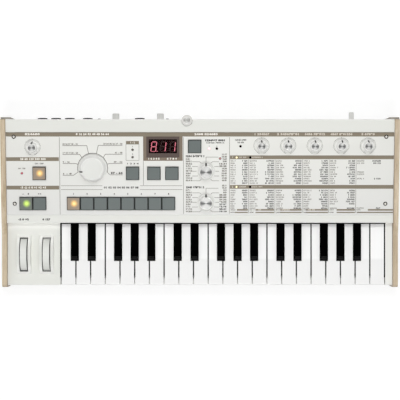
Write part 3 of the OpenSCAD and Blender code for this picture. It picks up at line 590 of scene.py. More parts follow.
# ivory wheel with painted shade on its shoulders and where it dips into its slot
def wheelFinish(node):
    low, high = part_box(node)
    dip = math.cos(math.asin(wheelLook["open"] * mm / ((high.y - low.y) / 2)))

    def crown(tree):
        # painted shade on faces turned away from the top
        turned = useGroup(tree, "shoulder", Flat=dip + 0.03, Turned=dip - 0.01)[0]
        face = within(tree, 0, (low.x + high.x) / 2, (high.x - low.x) / 2 - 0.5 * mm)
        return times(face, minus(1.0, turned))
    return twoTone(node + "Ivory", wheelLook["edge"], wheelLook["face"], crown, 0.42)


# screw heads with a painted reflection: bright where they face up, painted shade on their
# shoulders and in the cross
def turnedSteel():
    return grained("turnedSteel", lambda tree: blend(offPlate(tree, 0.998, 0.985),
        linear(196, 194, 188), linear(46, 42, 34)), 0.3, grain=1500.0, depth=0.01, tint=0.1,
        smudge=90.0, change=0.15, strength=0.3, Metallic=0.85)


# lamp resin: bright in its middle, deeper at the rim
def glowing(name, middleTone, strength, rimTone):
    material, tree, shader = finish(name, Roughness=0.15, Coat_Weight=0.6,
        Emission_Strength=strength)
    tones = linear(*middleTone), linear(*rimTone)
    facing = add(tree, "ShaderNodeLayerWeight", {"Blend": 0.35}).outputs["Facing"]
    feed(shader, Base_Color=blend(noise(objectPlace(tree), 2500.0, 1.0),
        *tones), Emission_Color=blend(facing, *tones))
    return material


def metalFinish(name, colour, rough):
    return grained(name, colour, rough, grain=1500.0, depth=0.02, tint=0.12, smudge=80.0,
        change=0.2, Metallic=1.0)


paint = {name: linear(*colour) for name, colour in {"ivory": (227, 228, 222),
    "brown": (126, 116, 98), "umber": (119, 105, 89), "grey": (106, 101, 92),
    "ink": (56, 54, 50), "pale": (238, 235, 226), "dim": (206, 199, 186)}.items()}
finishes = {
    "ivory_plastic": grained("ivoryPlastic", paint["ivory"], 0.45, depth=0.05),
    "silver_plate": silverLacquer(),
    "wood": satinWood("satinWood", 0.31, woodLook["left"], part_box("left_end_panel")[1].x),
    "smoked_window": smokedWindow(),
    # screw heads: painted reflection and painted shade
    "turned_steel": turnedSteel(),
    "display_black": grained("displayBlack", linear(14, 1, 2), 0.6, depth=0.004,
        Specular_IOR_Level=0.05),
    "lamp_plastic": glowing("lampPlastic", (200, 60, 50), 0.0, (120, 20, 20)),
    "board_green": grained("boardGreen", linear(40, 92, 62), 0.35, grain=700.0, tint=0.15),
    "inner_black": grained("innerBlack", linear(34, 34, 35), 0.5),
    "steel": metalFinish("platedSteel", linear(196, 196, 198), 0.3),
    "socket_black": socketFinish(),
    "speaker": metalFinish("speakerSteel", linear(70, 70, 72), 0.45),
    "rubber": twoTone("softRubber", (74, 74, 73), (158, 154, 146), overFeet, 0.7),
    "key_white": keyFinish("whiteKey", whiteLook),
    "key_black": keyFinish("blackKey", blackLook),
    "button_plastic": buttonFinish("buttonCap"),
    # painted light: the steep skirt paler than the face
    "knob_plastic": twoTone("knobPlastic", knobLook["face"], knobLook["skirt"], onSkirt, 0.4),
    "input_knob_plastic": grained("inputKnobGrey", linear(218, 218, 215), 0.5),
}
inks = {name: grained(name + "Print", colour, 0.55, grain=1200.0, depth=0.005, tint=0.06,
    smudge=22.0) for name, colour in paint.items() if name != "ivory"}


def dress(node, material):
    for slot in nodes[node].material_slots:
        slot.material = material


for part in record["subparts"]:
    dress(part["node"], finishes[part["material_slot"]])
dress("right_end_panel", satinWood("satinWoodRight", 0.87, woodLook["right"],
    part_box("right_end_panel")[0].x))
dress("top_case", caseFinish())
for node in wheels:
    dress(node, wheelFinish(node))
litButtons = {"arpeggio_button": "amber", "octave_down_button": "green",
    "program_button_1": "amber"}
glows = {"amber": {"tint": (0.2, 0.11, 0.05, 1), "core": (0.92, 0.47, 0.06, 1),
    "heart": (1.0, 0.72, 0.22, 1)}, "green": {"tint": (0.03, 0.03, 0.01, 1),
    "core": (0.45, 0.66, 0.02, 1), "heart": (0.62, 0.85, 0.06, 1)}}
for node, colour in litButtons.items():
    dress(node, buttonFinish(node + "Cap", node, glows[colour]))
print("materials made:", len(bpy.data.materials))


# a finished piece from a mesh or bmesh, on its body and slot
def newPiece(name, mesh, material=None, rides=body, smooth=None):
    if isinstance(mesh, bmesh.types.BMesh):
        work, mesh = mesh, bpy.data.meshes.new(name)
        work.to_mesh(mesh)
        work.free()
    if smooth is not None:
        mesh.shade_smooth()
        mesh.set_sharp_from_angle(angle=math.radians(smooth))
    piece = newObject(name, mesh)
    if material:
        mesh.materials.clear()
        mesh.materials.append(material)
    if rides:
        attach(piece, rides)
    return piece


# a closed revolved shape from radius and height pairs, first and last on the axis
def spin(work, profile, place=Matrix(), steps=32):
    rings = []
    for radius, height in profile:
        if radius < 1e-7:
            rings.append([work.verts.new(place @ Vector((0, 0, height)))])
            continue
        rings.append([work.verts.new(place @ Vector((radius * math.cos(2 * math.pi * i / steps),
            radius * math.sin(2 * math.pi * i / steps), height))) for i in range(steps)])
    for low, high in zip(rings, rings[1:]):
        for i in range(steps):
            j = (i + 1) % steps
            corners = [low[i % len(low)], low[j % len(low)], high[j % len(high)],
                high[i % len(high)]]
            corners = [c for n, c in enumerate(corners) if c not in corners[:n]]
            if len(corners) > 2:
                work.faces.new(corners)
    return work


# straight block on an outline drawn in x and y
def prism(work, corners, low, high, place=Matrix()):
    bottom = [work.verts.new(place @ Vector((x, y, low))) for x, y in corners]
    top = [work.verts.new(place @ Vector((x, y, high))) for x, y in corners]
    work.faces.new(top)
    work.faces.new(bottom[::-1])
    for i in range(len(corners)):
        j = (i + 1) % len(corners)
        work.faces.new([bottom[i], bottom[j], top[j], top[i]])
    return work


def recalc(work):
    bmesh.ops.recalc_face_normals(work, faces=work.faces)
    return work


# heights of the ink films above the face they lie on, mm
film = {"brown": 0.03, "umber": 0.03, "grey": 0.04, "ink": 0.05, "pale": 0.06, "dim": 0.06}
sheets = {name: bmesh.new() for name in film}


# a place on the plate at the level of an ink's film; u and v in mm
def onPlate(u, v, ink):
    return plateFrame @ Vector((u * mm, v * mm, film[ink] * mm))


# one patch of ink; corners in mm across and up
def flatFace(ink, corners):
    sheets[ink].faces.new([sheets[ink].verts.new(onPlate(u, v, ink)) for u, v in corners])


def bar(ink, left, low, right, high):
    flatFace(ink, [(left, low), (right, low), (right, high), (left, high)])


# a line of even width through the points, with mitred corners
def stroke(ink, points, width):
    points = [Vector(p) for p in points]
    sides = []
    for i, here in enumerate(points):
        before = (here - points[i - 1]).normalized() if i else None
        after = (points[i + 1] - here).normalized() if i < len(points) - 1 else None
        along = ((before or after) + (after or before)).normalized()
        across = Vector((-along.y, along.x))
        one = before or after
        reach = width / 2 / max(0.4, across.dot(Vector((-one.y, one.x))))
        sides.append((here + across * reach, here - across * reach))
    for (a, b), (c, d) in zip(sides, sides[1:]):
        flatFace(ink, [b, d, c, a])


# flat letters lying in x and y, in metres
def textMesh(words, size, weight, wide=1.0, fineness=2):
    curve = bpy.data.curves.new("lettering", "FONT")
    curve.body = words
    curve.size = size * mm / 0.7  # capitals are about seven tenths of the size
    curve.offset = weight * mm
    curve.align_x = "CENTER"
    curve.align_y = "CENTER"
    curve.space_character = wide
    curve.resolution_u = fineness
    mesh = takeMesh(newObject("lettering", curve))
    bpy.data.curves.remove(curve)
    return mesh


# figures on the plate; fit is the width that they fill, mm
def label(ink, words, u, v, size, weight, place=plateFrame, fit=None):
    mesh = textMesh(words, size, weight, 1.1)
    if fit:
        reach = [vert.co.x for vert in mesh.vertices]
        mesh.transform(Matrix.Scale(fit * mm / (max(reach) - min(reach)), 4, (1, 0, 0)))
    mesh.transform(place @ Matrix.Translation((u * mm, v * mm, film[ink] * mm)))
    sheets[ink].from_mesh(mesh)
    bpy.data.meshes.remove(mesh)


# Layout of the plate, mm: heights are measured up the slope from the plate's front edge
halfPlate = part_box("control_panel")[1].x / mm
plateLength = (Vector(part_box("control_panel")[1]) - plateStart).dot(plateUp) / mm
layout = {
    "header": (103.9, plateLength), "surround": (-74.7, 71.9, -22.8),
    "leftBands": ((71.6, 76.6), (33.8, 38.9)), "rightBands": ((74.0, 79.0), (34.9, 39.9)),
    "feet": ((5.7, 7.9), (2.5, 4.2)), "leftEdge": -184.6, "displayEdge": -74.5,
    "editEdge": -21.7, "tableEdge": 38.8, "columns": (64.0, 98.7, 134.9, 169.8, 205.3),
    "hairline": 0.55, "line": 0.7, "rowPitch": 2.93,
}
# where the brown feet of the columns begin, as shares of their widths: upper and lower
footShares = ((0.36, 0.24), (0.24, 0.24), (0.17, 0.17), (0.12, 0.12), (0.27, 0.27), (0.31, 0.02))
windowLow, windowHigh = [plateBack @ Vector(corner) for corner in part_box("display_window")]
windowMiddle = plateBack @ middle("display_window")
windowHalf = ((windowHigh.x - windowLow.x) / 2 / mm, 14.1)
lampSpots = [plateBack @ Vector((low + high) / 2) for low, high in islands("panel_leds")]


# brown stripes, with the display's surround
def bands():
    low, high = layout["header"]
    bar("brown", -halfPlate, low, halfPlate, high)
    for low, high in layout["leftBands"]:
        bar("brown", -halfPlate, low, layout["leftEdge"] - 0.9, high)
    for low, high in layout["rightBands"]:
        bar("brown", layout["tableEdge"] + 0.5, low, halfPlate, high)
    left, low, right = layout["surround"]
    top = layout["header"][0]
    u, v = windowMiddle.x / mm, windowMiddle.y / mm
    wide, tall = windowHalf
    for box in ((left, low, right, v - tall), (left, v - tall, u - wide, top),
            (u + wide, v - tall, right, top)):
        bar("umber", *box)
    edges = (layout["tableEdge"],) + layout["columns"] + (halfPlate,)
    for i, (start, end) in enumerate(zip(edges, edges[1:])):
        stop = end if i == 5 else end - 0.9
        for (low, high), share in zip(layout["feet"], footShares[i]):
            bar("brown", start + 0.9 + share * (end - start), low, stop, high)


# upright lines between the plate's fields, and the double line over the program row
def dividers():
    top = layout["header"][0] - 1
    thin = layout["hairline"]
    bandsUp = layout["rightBands"]
    lines = [(layout["leftEdge"], 0.5, top), (layout["displayEdge"], 39.5, 71.5),
        (layout["editEdge"], 1.5, top), (layout["tableEdge"], 1.5, top)]
    for u in layout["columns"]:
        lines.append((u, layout["feet"][1][0], bandsUp[1][0] - 0.6))
        lines.append((u, bandsUp[1][1] + 0.6, bandsUp[0][0] - 0.6))
    for u, low, high in lines:
        stroke("grey", [(u, low), (u, high)], thin)
    for v in layout["leftBands"][1]:
        for left, right in ((layout["leftEdge"] + 1.5, -128.5), (-79, layout["editEdge"] - 1.5)):
            stroke("grey", [(left, v), (right, v)], thin)


# the dial's marks: angle from the right, its figures, their height above the dial and width
dialLook = {"radius": 19.7, "arc": 0.75, "reach": 39.3, "marks": {
    195: ("1 - 8", -9.4, 11.2), 165: ("9 - 16", 6.1, 9.0),
    135: ("17 18 19 20 - 24", 18.1, 20.0), 105: ("25 26 27 28 - 32", 29.8, 20.0),
    75: ("33 34 35 36 37 - 40", 30.1, 25.0), 45: ("41 - 48", 18.4, 10.0),
    15: ("49 - 56", 6.2, 11.7), -15: ("57 - 64", -8.8, 15.5)}}


# arc and leader lines round the big dial
def controlScale():
    u, v = spot("program_dial")
    radius = dialLook["radius"]
    first, last = max(dialLook["marks"]), min(dialLook["marks"])
    turns = [math.radians(first + (last - first) * i / 96) for i in range(97)]
    stroke("ink", [(u + radius * math.cos(a), v + radius * math.sin(a)) for a in turns],
        dialLook["arc"])
    for angle, (words, height, width) in dialLook["marks"].items():
        away = Vector((math.cos(math.radians(angle)), math.sin(math.radians(angle))))
        side = -1 if angle > 90 else 1
        bend = Vector((u, v)) + away * (radius + 3.2)
        bend.y = v + height
        bend.x += side * max(0.0, (abs(height) - abs(away.y) * radius) * 0.15)
        if angle == first:
            bend.x = u - 25.3
        start = u + side * dialLook["reach"]
        stroke("grey", [Vector((u, v)) + away * radius, bend, (start, v + height)], layout["line"])
        ink, rise, size, weight = ("ink", 2.2, 2.3, 0.25) if angle == last else (
            "grey", 1.9, 1.9, 0.14)
        label(ink, words, start - side * width / 2, v + height + rise, size, weight, fit=width)


bankLook = {"sides": (-97.2, -80.1), "levels": (72.4, 93.8, 98.0), "line": 0.45}


# frame round the two bank lamps
def bankBox():
    (left, right), (low, mid, high) = bankLook["sides"], bankLook["levels"]
    h = bankLook["line"] / 2
    for box in ((left - h, low - h, right + h, low + h), (left - h, mid - h, right + h, mid + h),
            (left - h, low + h, left + h, mid - h), (right - h, low + h, right + h, mid - h)):
        bar("grey", *box)
    bar("brown", left, mid, right, high)
    label("pale", "1 - 2", (left + right) / 2, mid + 2.1, 2.1, 0.12)
    upper = max(lamp.y for lamp in lampSpots[1:3])
    for lamp in lampSpots[1:3]:
        label("ink", "1" if lamp.y == upper else "2", lamp.x / mm, lamp.y / mm + 4.0, 1.7, 0.08)


# steps of the scales beside the edit knobs, radius of their ring, and widths of the figures
editLook = {"step": 6.3, "ring": 12.3, "line": 0.55, "size": 1.8, "weight": 0.2, "row": 3.1,
    "left": (8.2, 5.6, 8.2, 7.6, 6.2), "edit_knob_1": (6.4, 5.2, 9.6, 6.2, 6.6, 6.2),
    "edit_knob_2": (5.8, 4.4, 9.6, 9.6, 9.6, 9.6)}


# leader lines on both sides of an edit knob, with short rows of figures over them
def editScale(node, first):
    u, v = spot(node)
    step, line, ringSize = editLook["step"], editLook["line"], editLook["ring"]

    def figures(ink, number, factor, tail, left, level, width):
        label(ink, f"{number + 10}.{number * factor % 90 + 10}{tail}", left + width / 2, level,
            editLook["size"], editLook["weight"], fit=width)

    for i in range(6):
        level = v + (step * (3 - i) if i else step * 3 - 0.2)
        angle = math.radians(90 - 30 * i)
        start = Vector((u + ringSize * math.cos(angle), v + ringSize * math.sin(angle)))
        width = editLook[node][i]
        if i == 0:
            stroke("grey", [(u, v + 11.2), (u, level), (u + 16.3, level)], line)
        else:
            elbow = (max(start.x, u + 4) + 2.2, level)
            stroke("grey", [start, elbow, (u + 17.2, level)], line)
            stroke("grey", [(2 * u - x, y) for x, y in (start, elbow, (u + 18.3, level))], line)
            for row, number in enumerate((first + 11 - i, (first + i) * 7 % 90)):
                figures("grey", number, 3, f".{i}", u - 26.5, level + 3.5 - row * editLook["row"],
                    editLook["left"][(i + row * 2) % 5])
        for row, number in enumerate((first + i, (first + i) * 5 % 90)):
            figures("ink" if i > 3 and first > 1 else "grey", number, 7, "", u + 27.1 - width,
                level + 3.5 - row * editLook["row"], width)
    label("ink", ("1234 567890 1", "2345 678901 2")[first > 1], -6.5, v + step * 3 + 0.9, 2.3,
        0.26, fit=24.1)


# figures in the plate's headings, and the width that each fills, mm
headingLook = {"size": 2.5, "weight": 0.2, "tables": 42.8, "leftBands": -219.6,
    "programs": -103.8, "overButton": 12.4}
headerWords = {"volume_knob": ("024680", 19.7), "program_dial":
    ("8 16 24 32 40 48 56 64", 43.4), "edit_knob_1": ("2468 024680", 30.6),
    "control_knob_1": ("1 234567", 19.5), "control_knob_2": ("2 345678901", 28.7),
    "control_knob_3": ("3456 789012", 26.6), "control_knob_4": ("4567 8901234", 28.7),
    "control_knob_5": ("5 67890", 17.5)}
buttonWords = {"arpeggio_button": ("ON / OFF", 11.4), "octave_down_button": ("- 1", 9.0),
    "octave_up_button": ("+1", 4.2), "bank_button": ("1 2 3 4", 15.0)}


# plain numbers where the plate carries its headings
def headings():
    mid = sum(layout["header"]) / 2 + 0.3
    bold = headingLook["size"], headingLook["weight"]
    for node, (words, width) in headerWords.items():
        ink, weight = ("dim", 0.24) if node in smallKnobs[1:] else ("pale", bold[1])
        label(ink, words, spot(node)[0], mid, bold[0], weight, fit=width)
    for band, words in zip(layout["rightBands"], "12"):
        label("dim", words, headingLook["tables"], sum(band) / 2, 2.3, 0.1)
    for band, words in zip(layout["leftBands"], ("20 60 120 240 300", "-3 -2 -1 0 +1 +2 +3")):
        label("pale", words, headingLook["leftBands"], sum(band) / 2, *bold, fit=33.6)
    label("ink", "01 02 03 04 05 06 07 08", headingLook["programs"],
        sum(layout["leftBands"][1]) / 2, 2.4, 0.18, fit=45.6)
    for node, words, width in (("write_button", "1 2 3 4 5", 14.7),
            ("shift_button", "6 7 8 9", 13.4)):
        label("pale", words, spot(node)[0], layout["surround"][1] + 2.6, 2.2, 0.2, fit=width)
    for i in range(1, 9):
        u, v = spot(f"program_button_{i}")
        label("ink", str(i), u, v + headingLook["overButton"], 2.0, 0.16)
    for node, (words, width) in buttonWords.items():
        u, v = spot(node)
        label("ink", words, u, v + headingLook["overButton"], 1.9, 0.1, fit=width)
    # beside two lamps and a button: steps across and up, size, weight and width of each
    firstLamp, ninthLamp = [(lampSpots[i].x / mm, lampSpots[i].y / mm) for i in (0, 8)]
    timbre = spot("timbre_button")
    for (u, v), ink, words, right, up, size, weight, width in (
            (firstLamp, "grey", "60 120", 0, 6.2, 1.7, 0.1, 9.2),
            (ninthLamp, "ink", "12345 6789", 0, 8.2, 1.9, 0.14, 14.7),
            (ninthLamp, "ink", "123 456", 0, 5.0, 1.9, 0.14, 8.4),
            (timbre, "ink", "1234567 8901", 26.7, 7.6, 2.1, 0.26, 25.9),
            (timbre, "ink", "123456 789012", 26.7, 4.4, 1.7, 0.1, 23.7)):
        label(ink, words, u + right, v + up, size, weight, fit=width)
    for lamp, words in zip(lampSpots[3:5], "12"):
        label("ink", words, lamp.x / mm, lamp.y / mm + 3.2, 1.6, 0.08)


print("plate layout measured:", len(lampSpots), "lamps")


# a modifier's tree: its inputs beside the geometry, by first value or kind
def nodeTree(name, inputs):
    tree, given, end = newGroup("Geometry", name, {"Geometry": "Geometry", **inputs},
        {"Geometry": "Geometry"})
    tree.is_modifier = True
    return tree, given, end


# the tree's last nodes: turned and moved to its place, made real and painted
def endTree(tree, end, geometry, material, place=None, tilt=0.0):
    if place is not None:
        geometry = add(tree, "GeometryNodeTransform", {"Geometry": geometry,
            "Translation": place, "Rotation": joinAxes(tree, tilt)}).outputs[0]
    solid = add(tree, "GeometryNodeRealizeInstances", {0: geometry}).outputs[0]
    painted = add(tree, "GeometryNodeSetMaterial", {"Geometry": solid, "Material": material})
    connect(end.inputs[0], painted.outputs[0])


# the tree's result as a plain mesh; start is the mesh that it works on
def runTree(tree, name, start=None, **values):
    holder = newObject(name, start or bpy.data.meshes.new(name))
    modifier = holder.modifiers.new(name, "NODES")
    modifier.node_group = tree
    for item in tree.interface.items_tree:
        if item.in_out == "INPUT" and item.name in values:
            modifier[item.identifier] = values[item.name]
    holder.update_tag()
    return takeMesh(holder)


# a ring of ticks on the plate, every fifth one longer
def scaleTree():
    tree, given, end = nodeTree("knobScale", {"Centre": "Vector", "Tilt": 0.0,
        "Radius": 0.0105, "Count": 31, "Sweep": 5.24, "Length": 0.0009, "Width": 0.0004,
        "Ink": "Material"})
    dots = add(tree, "GeometryNodePoints", {"Count": given["Count"]}).outputs[0]
    index = add(tree, "GeometryNodeInputIndex").outputs[0]
    share = maths("DIVIDE", index, minus(given["Count"], 1.0))
    angle = times(minus(share, 0.5), given["Sweep"])
    x, y = [times(maths(way, angle), given["Radius"]) for way in ("SINE", "COSINE")]
    spread = add(tree, "GeometryNodeSetPosition", {"Geometry": dots,
        "Position": joinAxes(tree, x, y)}).outputs[0]
    tick = add(tree, "GeometryNodeMeshCube", {"Size": joinAxes(tree, given["Width"],
        given["Length"], 0.00003)}).outputs[0]
    fifth = maths("LESS_THAN", maths("MODULO", index, 5.0), 0.5)
    stretch = joinAxes(tree, 1.0, maths("MULTIPLY_ADD", fifth, 0.7, 1.0), 1.0)
    ticks = add(tree, "GeometryNodeInstanceOnPoints", {"Points": spread, "Instance": tick,
        "Rotation": joinAxes(tree, z=times(angle, -1.0)), "Scale": stretch}).outputs[0]
    endTree(tree, end, ticks, given["Ink"], given["Centre"], given["Tilt"])
    return tree


# rows of random digits, broken into words of random length
def tableTree():
    tree, given, end = nodeTree("numberTable", {"Glyphs": "Collection", "Corner": "Vector",
        "Tilt": 0.0, "Digits": 8, "Shortest": 3, "Rows": 11, "Step": 0.0013, "Line": 0.00293,
        "Gaps": 0.0, "Seed": 1, "Ink": "Material"})
    count = times(given["Digits"], given["Rows"])
    dots = add(tree, "GeometryNodePoints", {"Count": count}).outputs[0]
    index = add(tree, "GeometryNodeInputIndex").outputs[0]
    column = maths("MODULO", index, given["Digits"])
    row = maths("FLOOR", maths("DIVIDE", plus(index, 0.5), given["Digits"]))
    place = joinAxes(tree, times(column, given["Step"]), times(times(row, given["Line"]), -1.0))
    grid = add(tree, "GeometryNodeSetPosition", {"Geometry": dots, "Position": place}).outputs[0]

    def pick(kind, low, high, chosenBy, offset):
        first, result = {"INT": (4, 2), "FLOAT": (2, 1)}[kind]
        return add(tree, "FunctionNodeRandomValue", {first: low, first + 1: high, 7: chosenBy,
            8: plus(given["Seed"], float(offset))}, data_type=kind).outputs[result]

    length = pick("INT", given["Shortest"], given["Digits"], row, 11)
    space = pick("INT", 3, given["Digits"], row, 23)
    tooLong = maths("LESS_THAN", minus(length, 0.5), column)
    inSpace = maths("COMPARE", column, space, 0.1)
    emptyRow = maths("LESS_THAN", pick("FLOAT", 0.0, 1.0, row, 37), given["Gaps"])
    gone = plus(plus(tooLong, inSpace), emptyRow)
    kept = add(tree, "GeometryNodeDeleteGeometry", {"Geometry": grid, "Selection": gone},
        domain="POINT").outputs[0]
    glyphs = add(tree, "GeometryNodeCollectionInfo", {"Collection": given["Glyphs"],
        "Separate Children": True, "Reset Children": True}).outputs[0]
    digits = add(tree, "GeometryNodeInstanceOnPoints", {"Points": kept, "Instance": glyphs,
        "Pick Instance": True, "Instance Index": pick("INT", 0, 9, index, 51)}).outputs[0]
    endTree(tree, end, digits, given["Ink"], given["Corner"], given["Tilt"])
    return tree


# a collection of the ten digits as small flat meshes
def digitShapes(name, size, weight):
    collection = bpy.data.collections.new(name)
    bpy.context.scene.collection.children.link(collection)
    for digit in range(10):
        collection.objects.link(bpy.data.objects.new(f"{name}{digit}",
            textMesh(str(digit), size, weight, fineness=1)))
    return collection


def dropCollection(collection):
    for shape in list(collection.objects):
        bpy.data.objects.remove(shape)
    bpy.data.collections.remove(collection)


def joined(meshes):
    work = bmesh.new()
    for mesh in meshes:
        work.from_mesh(mesh)
        bpy.data.meshes.remove(mesh)
    return work


scaleLook = {"radius": 10.1, "ticks": 31, "sweep": 300.0, "length": 0.95, "width": 0.55,
    "foot": (2.4, 4.6), "footLine": 0.45}


# ticks round the small knobs, and two short bars at the foot of each ring
def knobScales():
    tree, look, rings = scaleTree(), scaleLook, []
    for node in smallKnobs:
        rings.append(runTree(tree, "scaleRing", Centre=footOf(node) + plateOut * film["ink"] * mm,
            Tilt=slope, Radius=look["radius"] * mm, Count=look["ticks"],
            Sweep=math.radians(look["sweep"]), Length=look["length"] * mm,
            Width=look["width"] * mm, Ink=inks["ink"]))
        u, v = spot(node)
        near, far = look["foot"]
        for a, b in ((-far, -near), (near, far)):
            level = v - look["radius"] + 0.2
            stroke("ink", [(u + a, level), (u + b, level)], look["footLine"])
    newPiece("knobScaleTicks", joined(rings), inks["ink"])


# figures of the tables, mm: size, weight and step, which runs leftwards when negative
figureLook = {"thin": (1.65, 0.12, 1.35), "bold": (1.7, 0.2, -1.45)}
# top row, count of rows, and the rows of the last column with the figures at their ends
tableBlocks = ({"top": 71.6, "rows": 11, "last": ((0, 8), (1, 7), (5, 0), (6, 0), (8, 6))},
    {"top": 32.4, "rows": 9, "last": ((8, 5),)})


# two blocks of rows in six columns beside the edit knobs, with short words at their feet
def numberTables():
    tree = tableTree()
    glyphs = {style: digitShapes(style + "Digit", *look[:2]) for style, look in figureLook.items()}
    meshes = {"grey": [], "ink": [], "dim": []}

    def figures(ink, u, v, digits, shortest, seed, rows=1, gaps=0.0):
        style = "bold" if ink == "ink" else "thin"
        meshes[ink].append(runTree(tree, "figures", Glyphs=glyphs[style], Tilt=slope,
            Corner=onPlate(u, v, ink), Digits=digits, Shortest=shortest, Rows=rows,
            Step=figureLook[style][2] * mm, Line=layout["rowPitch"] * mm, Gaps=gaps,
            Seed=seed, Ink=inks[ink]))

    edges = (layout["tableEdge"],) + layout["columns"] + (halfPlate - 15.5,)
    columns = [(left + 1.9, right - 2.2) for left, right in zip(edges, edges[1:])]
    for b, block in enumerate(tableBlocks):
        for i, (left, right) in enumerate(columns[:5]):
            fill = (5, 4) if i == 0 else (8, 5)
            rest = (7 + 13 * i + 101 * b, block["rows"], 0.12 if i == 4 else 0.0)
            figures("grey", left, block["top"], *fill, *rest)
            figures("ink", right, block["top"], *fill, *rest)
        left, right = columns[5]
        for row, count in block["last"]:
            v, seed = block["top"] - row * layout["rowPitch"], row + block["rows"]
            figures("grey", left, v, 9, 7, seed)
            if count:
                figures("ink", right, v, count, count, seed)
    for i, (left, right) in enumerate(columns):
        for row, (v, count) in enumerate(((6.75, 6), (3.35, 5))):
            figures("grey", left, v, count, 4, 31 + i * 5 + row)
    for band in layout["rightBands"]:
        for u, count in ((52.0, 7), (68.2, 11)):
            figures("dim", u, sum(band) / 2, count, count, int(u) + int(band[0]))
    for u, count in ((77.4, 3), (108.5, 8), (143.0, 7)):
        figures("dim", u, sum(layout["feet"][0]) / 2, count, count, int(u))
    for name, ink, slotName in (("tableWords", "grey", "inner_black"),
            ("tableValues", "ink", "inner_black"), ("bandNumbers", "dim", "ivory_plastic")):
        newPiece(name, joined(meshes[ink]), inks[ink])
    for collection in glyphs.values():
        dropCollection(collection)


bands()
dividers()
controlScale()
bankBox()
editScale("edit_knob_1", 1)
editScale("edit_knob_2", 13)
headings()
knobScales()
numberTables()
print("plate printed")


wheelWords = {"pitch_wheel": ("-2 0 +2", 14.1), "mod_wheel": ("0 127", 10.5)}


# numbers on the strip behind the wheels
def wheelLabels():
    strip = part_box("control_panel")[0].y - 6.0 * mm
    for node, (words, width) in wheelWords.items():
        hit = skin("top_case", Vector((middle(node).x, strip, 0.2)), Vector((0, 0, -1)))[0]
        place = Matrix.Translation(hit) @ Matrix.Rotation(slope, 4, "X")
        label("ink", words, 0, 0, 2.2, 0.26, place=place, fit=width)


wheelLabels()
for name, work in sheets.items():
    newPiece(name + "Printing", work, inks[name])

# ends: how far the strips at the two ends reach out; clear: the gap over the black keys
darkStripLook = {"thick": 1.25, "ends": (1.15, 0.5), "gap": 0.95, "clear": 0.55}


# black strips under the lip and along both ends of the key row, darkening those gaps
def keyFelt():
    boxes = [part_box(part["node"]) for part in record["subparts"]
        if part["material_slot"] == "key_white"]
    gap, thick = darkStripLook["gap"] * mm, darkStripLook["thick"] * mm
    left = min(low.x for low, high in boxes) - gap
    right = max(high.x for low, high in boxes) + gap
    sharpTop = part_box("c_sharp_keys")[1].z
    lip = skin("top_case", Vector((0, keyFront + 5 * mm, sharpTop + 2 * mm)), Vector((0, 1, 0)))[0]
    deck = skin("top_case", Vector((left + gap - 4 * mm, middle("c_keys").y, 0.2)),
        Vector((0, 0, -1)))[0]
    work = bmesh.new()

    def block(west, south, east, north, low, high):
        prism(work, [(west, south), (east, south), (east, north), (west, north)], low, high)

    block(left, lip.y - thick, right, lip.y + 0.1 * mm,
        sharpTop + darkStripLook["clear"] * mm, lip.z + 0.9 * mm)
    for edge, side, reach in ((left, -1, darkStripLook["ends"][0]), (right, 1, darkStripLook["ends"][1])):
        west, east = sorted((edge + side * reach * mm, edge - side * 0.12 * mm))
        block(west, keyFront + 9.5 * mm, east, lip.y, deck.z - 7 * mm, deck.z + 0.12 * mm)
    gapStrip = grained("blackGapStrip", linear(20, 19, 18), 0.95, grain=2600.0, depth=0.2, tint=0.3,
        smudge=40.0, Specular_IOR_Level=0.05)
    newPiece("keyFelt", recalc(work), gapStrip)


keyFelt()
print("felt laid")

displayLook = {"height": 12.8, "width": 6.3, "thick": 1.1, "lean": 0.12, "pitch": 12.4,
    "value": "811", "depth": 2.15, "aside": 0.4, "raised": 0.12, "gap": 0.22, "dot": 0.8}
# segments of a digit: start and end corner, 0 to 1 across and up
segmentPlan = {"a": ((0, 1), (1, 1)), "b": ((1, 1), (1, 0.5)), "c": ((1, 0.5), (1, 0)),
    "d": ((0, 0), (1, 0)), "e": ((0, 0.5), (0, 0)), "f": ((0, 1), (0, 0.5)),
    "g": ((0, 0.5), (1, 0.5))}
digitSegments = {"8": "abcdefg", "1": "bc"}


# one hexagonal bar of a digit, leaning to the right
def segment(work, start, end, origin, look):
    a, b = Vector(start), Vector(end)
    along = (b - a).normalized()
    across = Vector((-along.y, along.x))
    half = look["thick"] / 2
    a, b = a + along * look["gap"], b - along * look["gap"]
    outline = [a, a + (along - across) * half, b - (along + across) * half, b,
        b - (along - across) * half, a + (along + across) * half]
    points = [((p.x + p.y * look["lean"]) * mm, p.y * mm) for p in outline]
    prism(work, points, 0, look["raised"] * mm, plateFrame @ Matrix.Translation(origin))


# three digits with a dot each, lit or dark
def displayDigits():
    lit, unlit = bmesh.new(), bmesh.new()
    look = displayLook
    wide, tall, dot, raised = [look[key] for key in ("width", "height", "dot", "raised")]
    centre = plateBack @ middle("display_module")
    for i, digit in enumerate(look["value"]):
        x = centre.x + ((i - 1) * look["pitch"] - (wide + look["lean"] * tall) / 2
            + look["aside"]) * mm
        origin = Vector((x, centre.y - tall / 2 * mm, -look["depth"] * mm))
        for key, ends in segmentPlan.items():
            segment(lit if key in digitSegments[digit] else unlit,
                *[(across * wide, up * tall) for across, up in ends], origin, look)
        place = plateFrame @ Matrix.Translation(origin + Vector(((wide + 2.0) * mm, 0, 0)))
        spin(unlit if i else lit, [(0, 0), (dot * mm, 0), (dot * mm, raised * mm),
            (0, raised * mm)], place, 16)
    newPiece("litSegments", recalc(lit), glowing("litSegment", (252, 140, 158), 1.25,
        (240, 104, 126)))
    newPiece("darkSegments", recalc(unlit), grained("darkSegment", linear(82, 54, 52), 0.4))


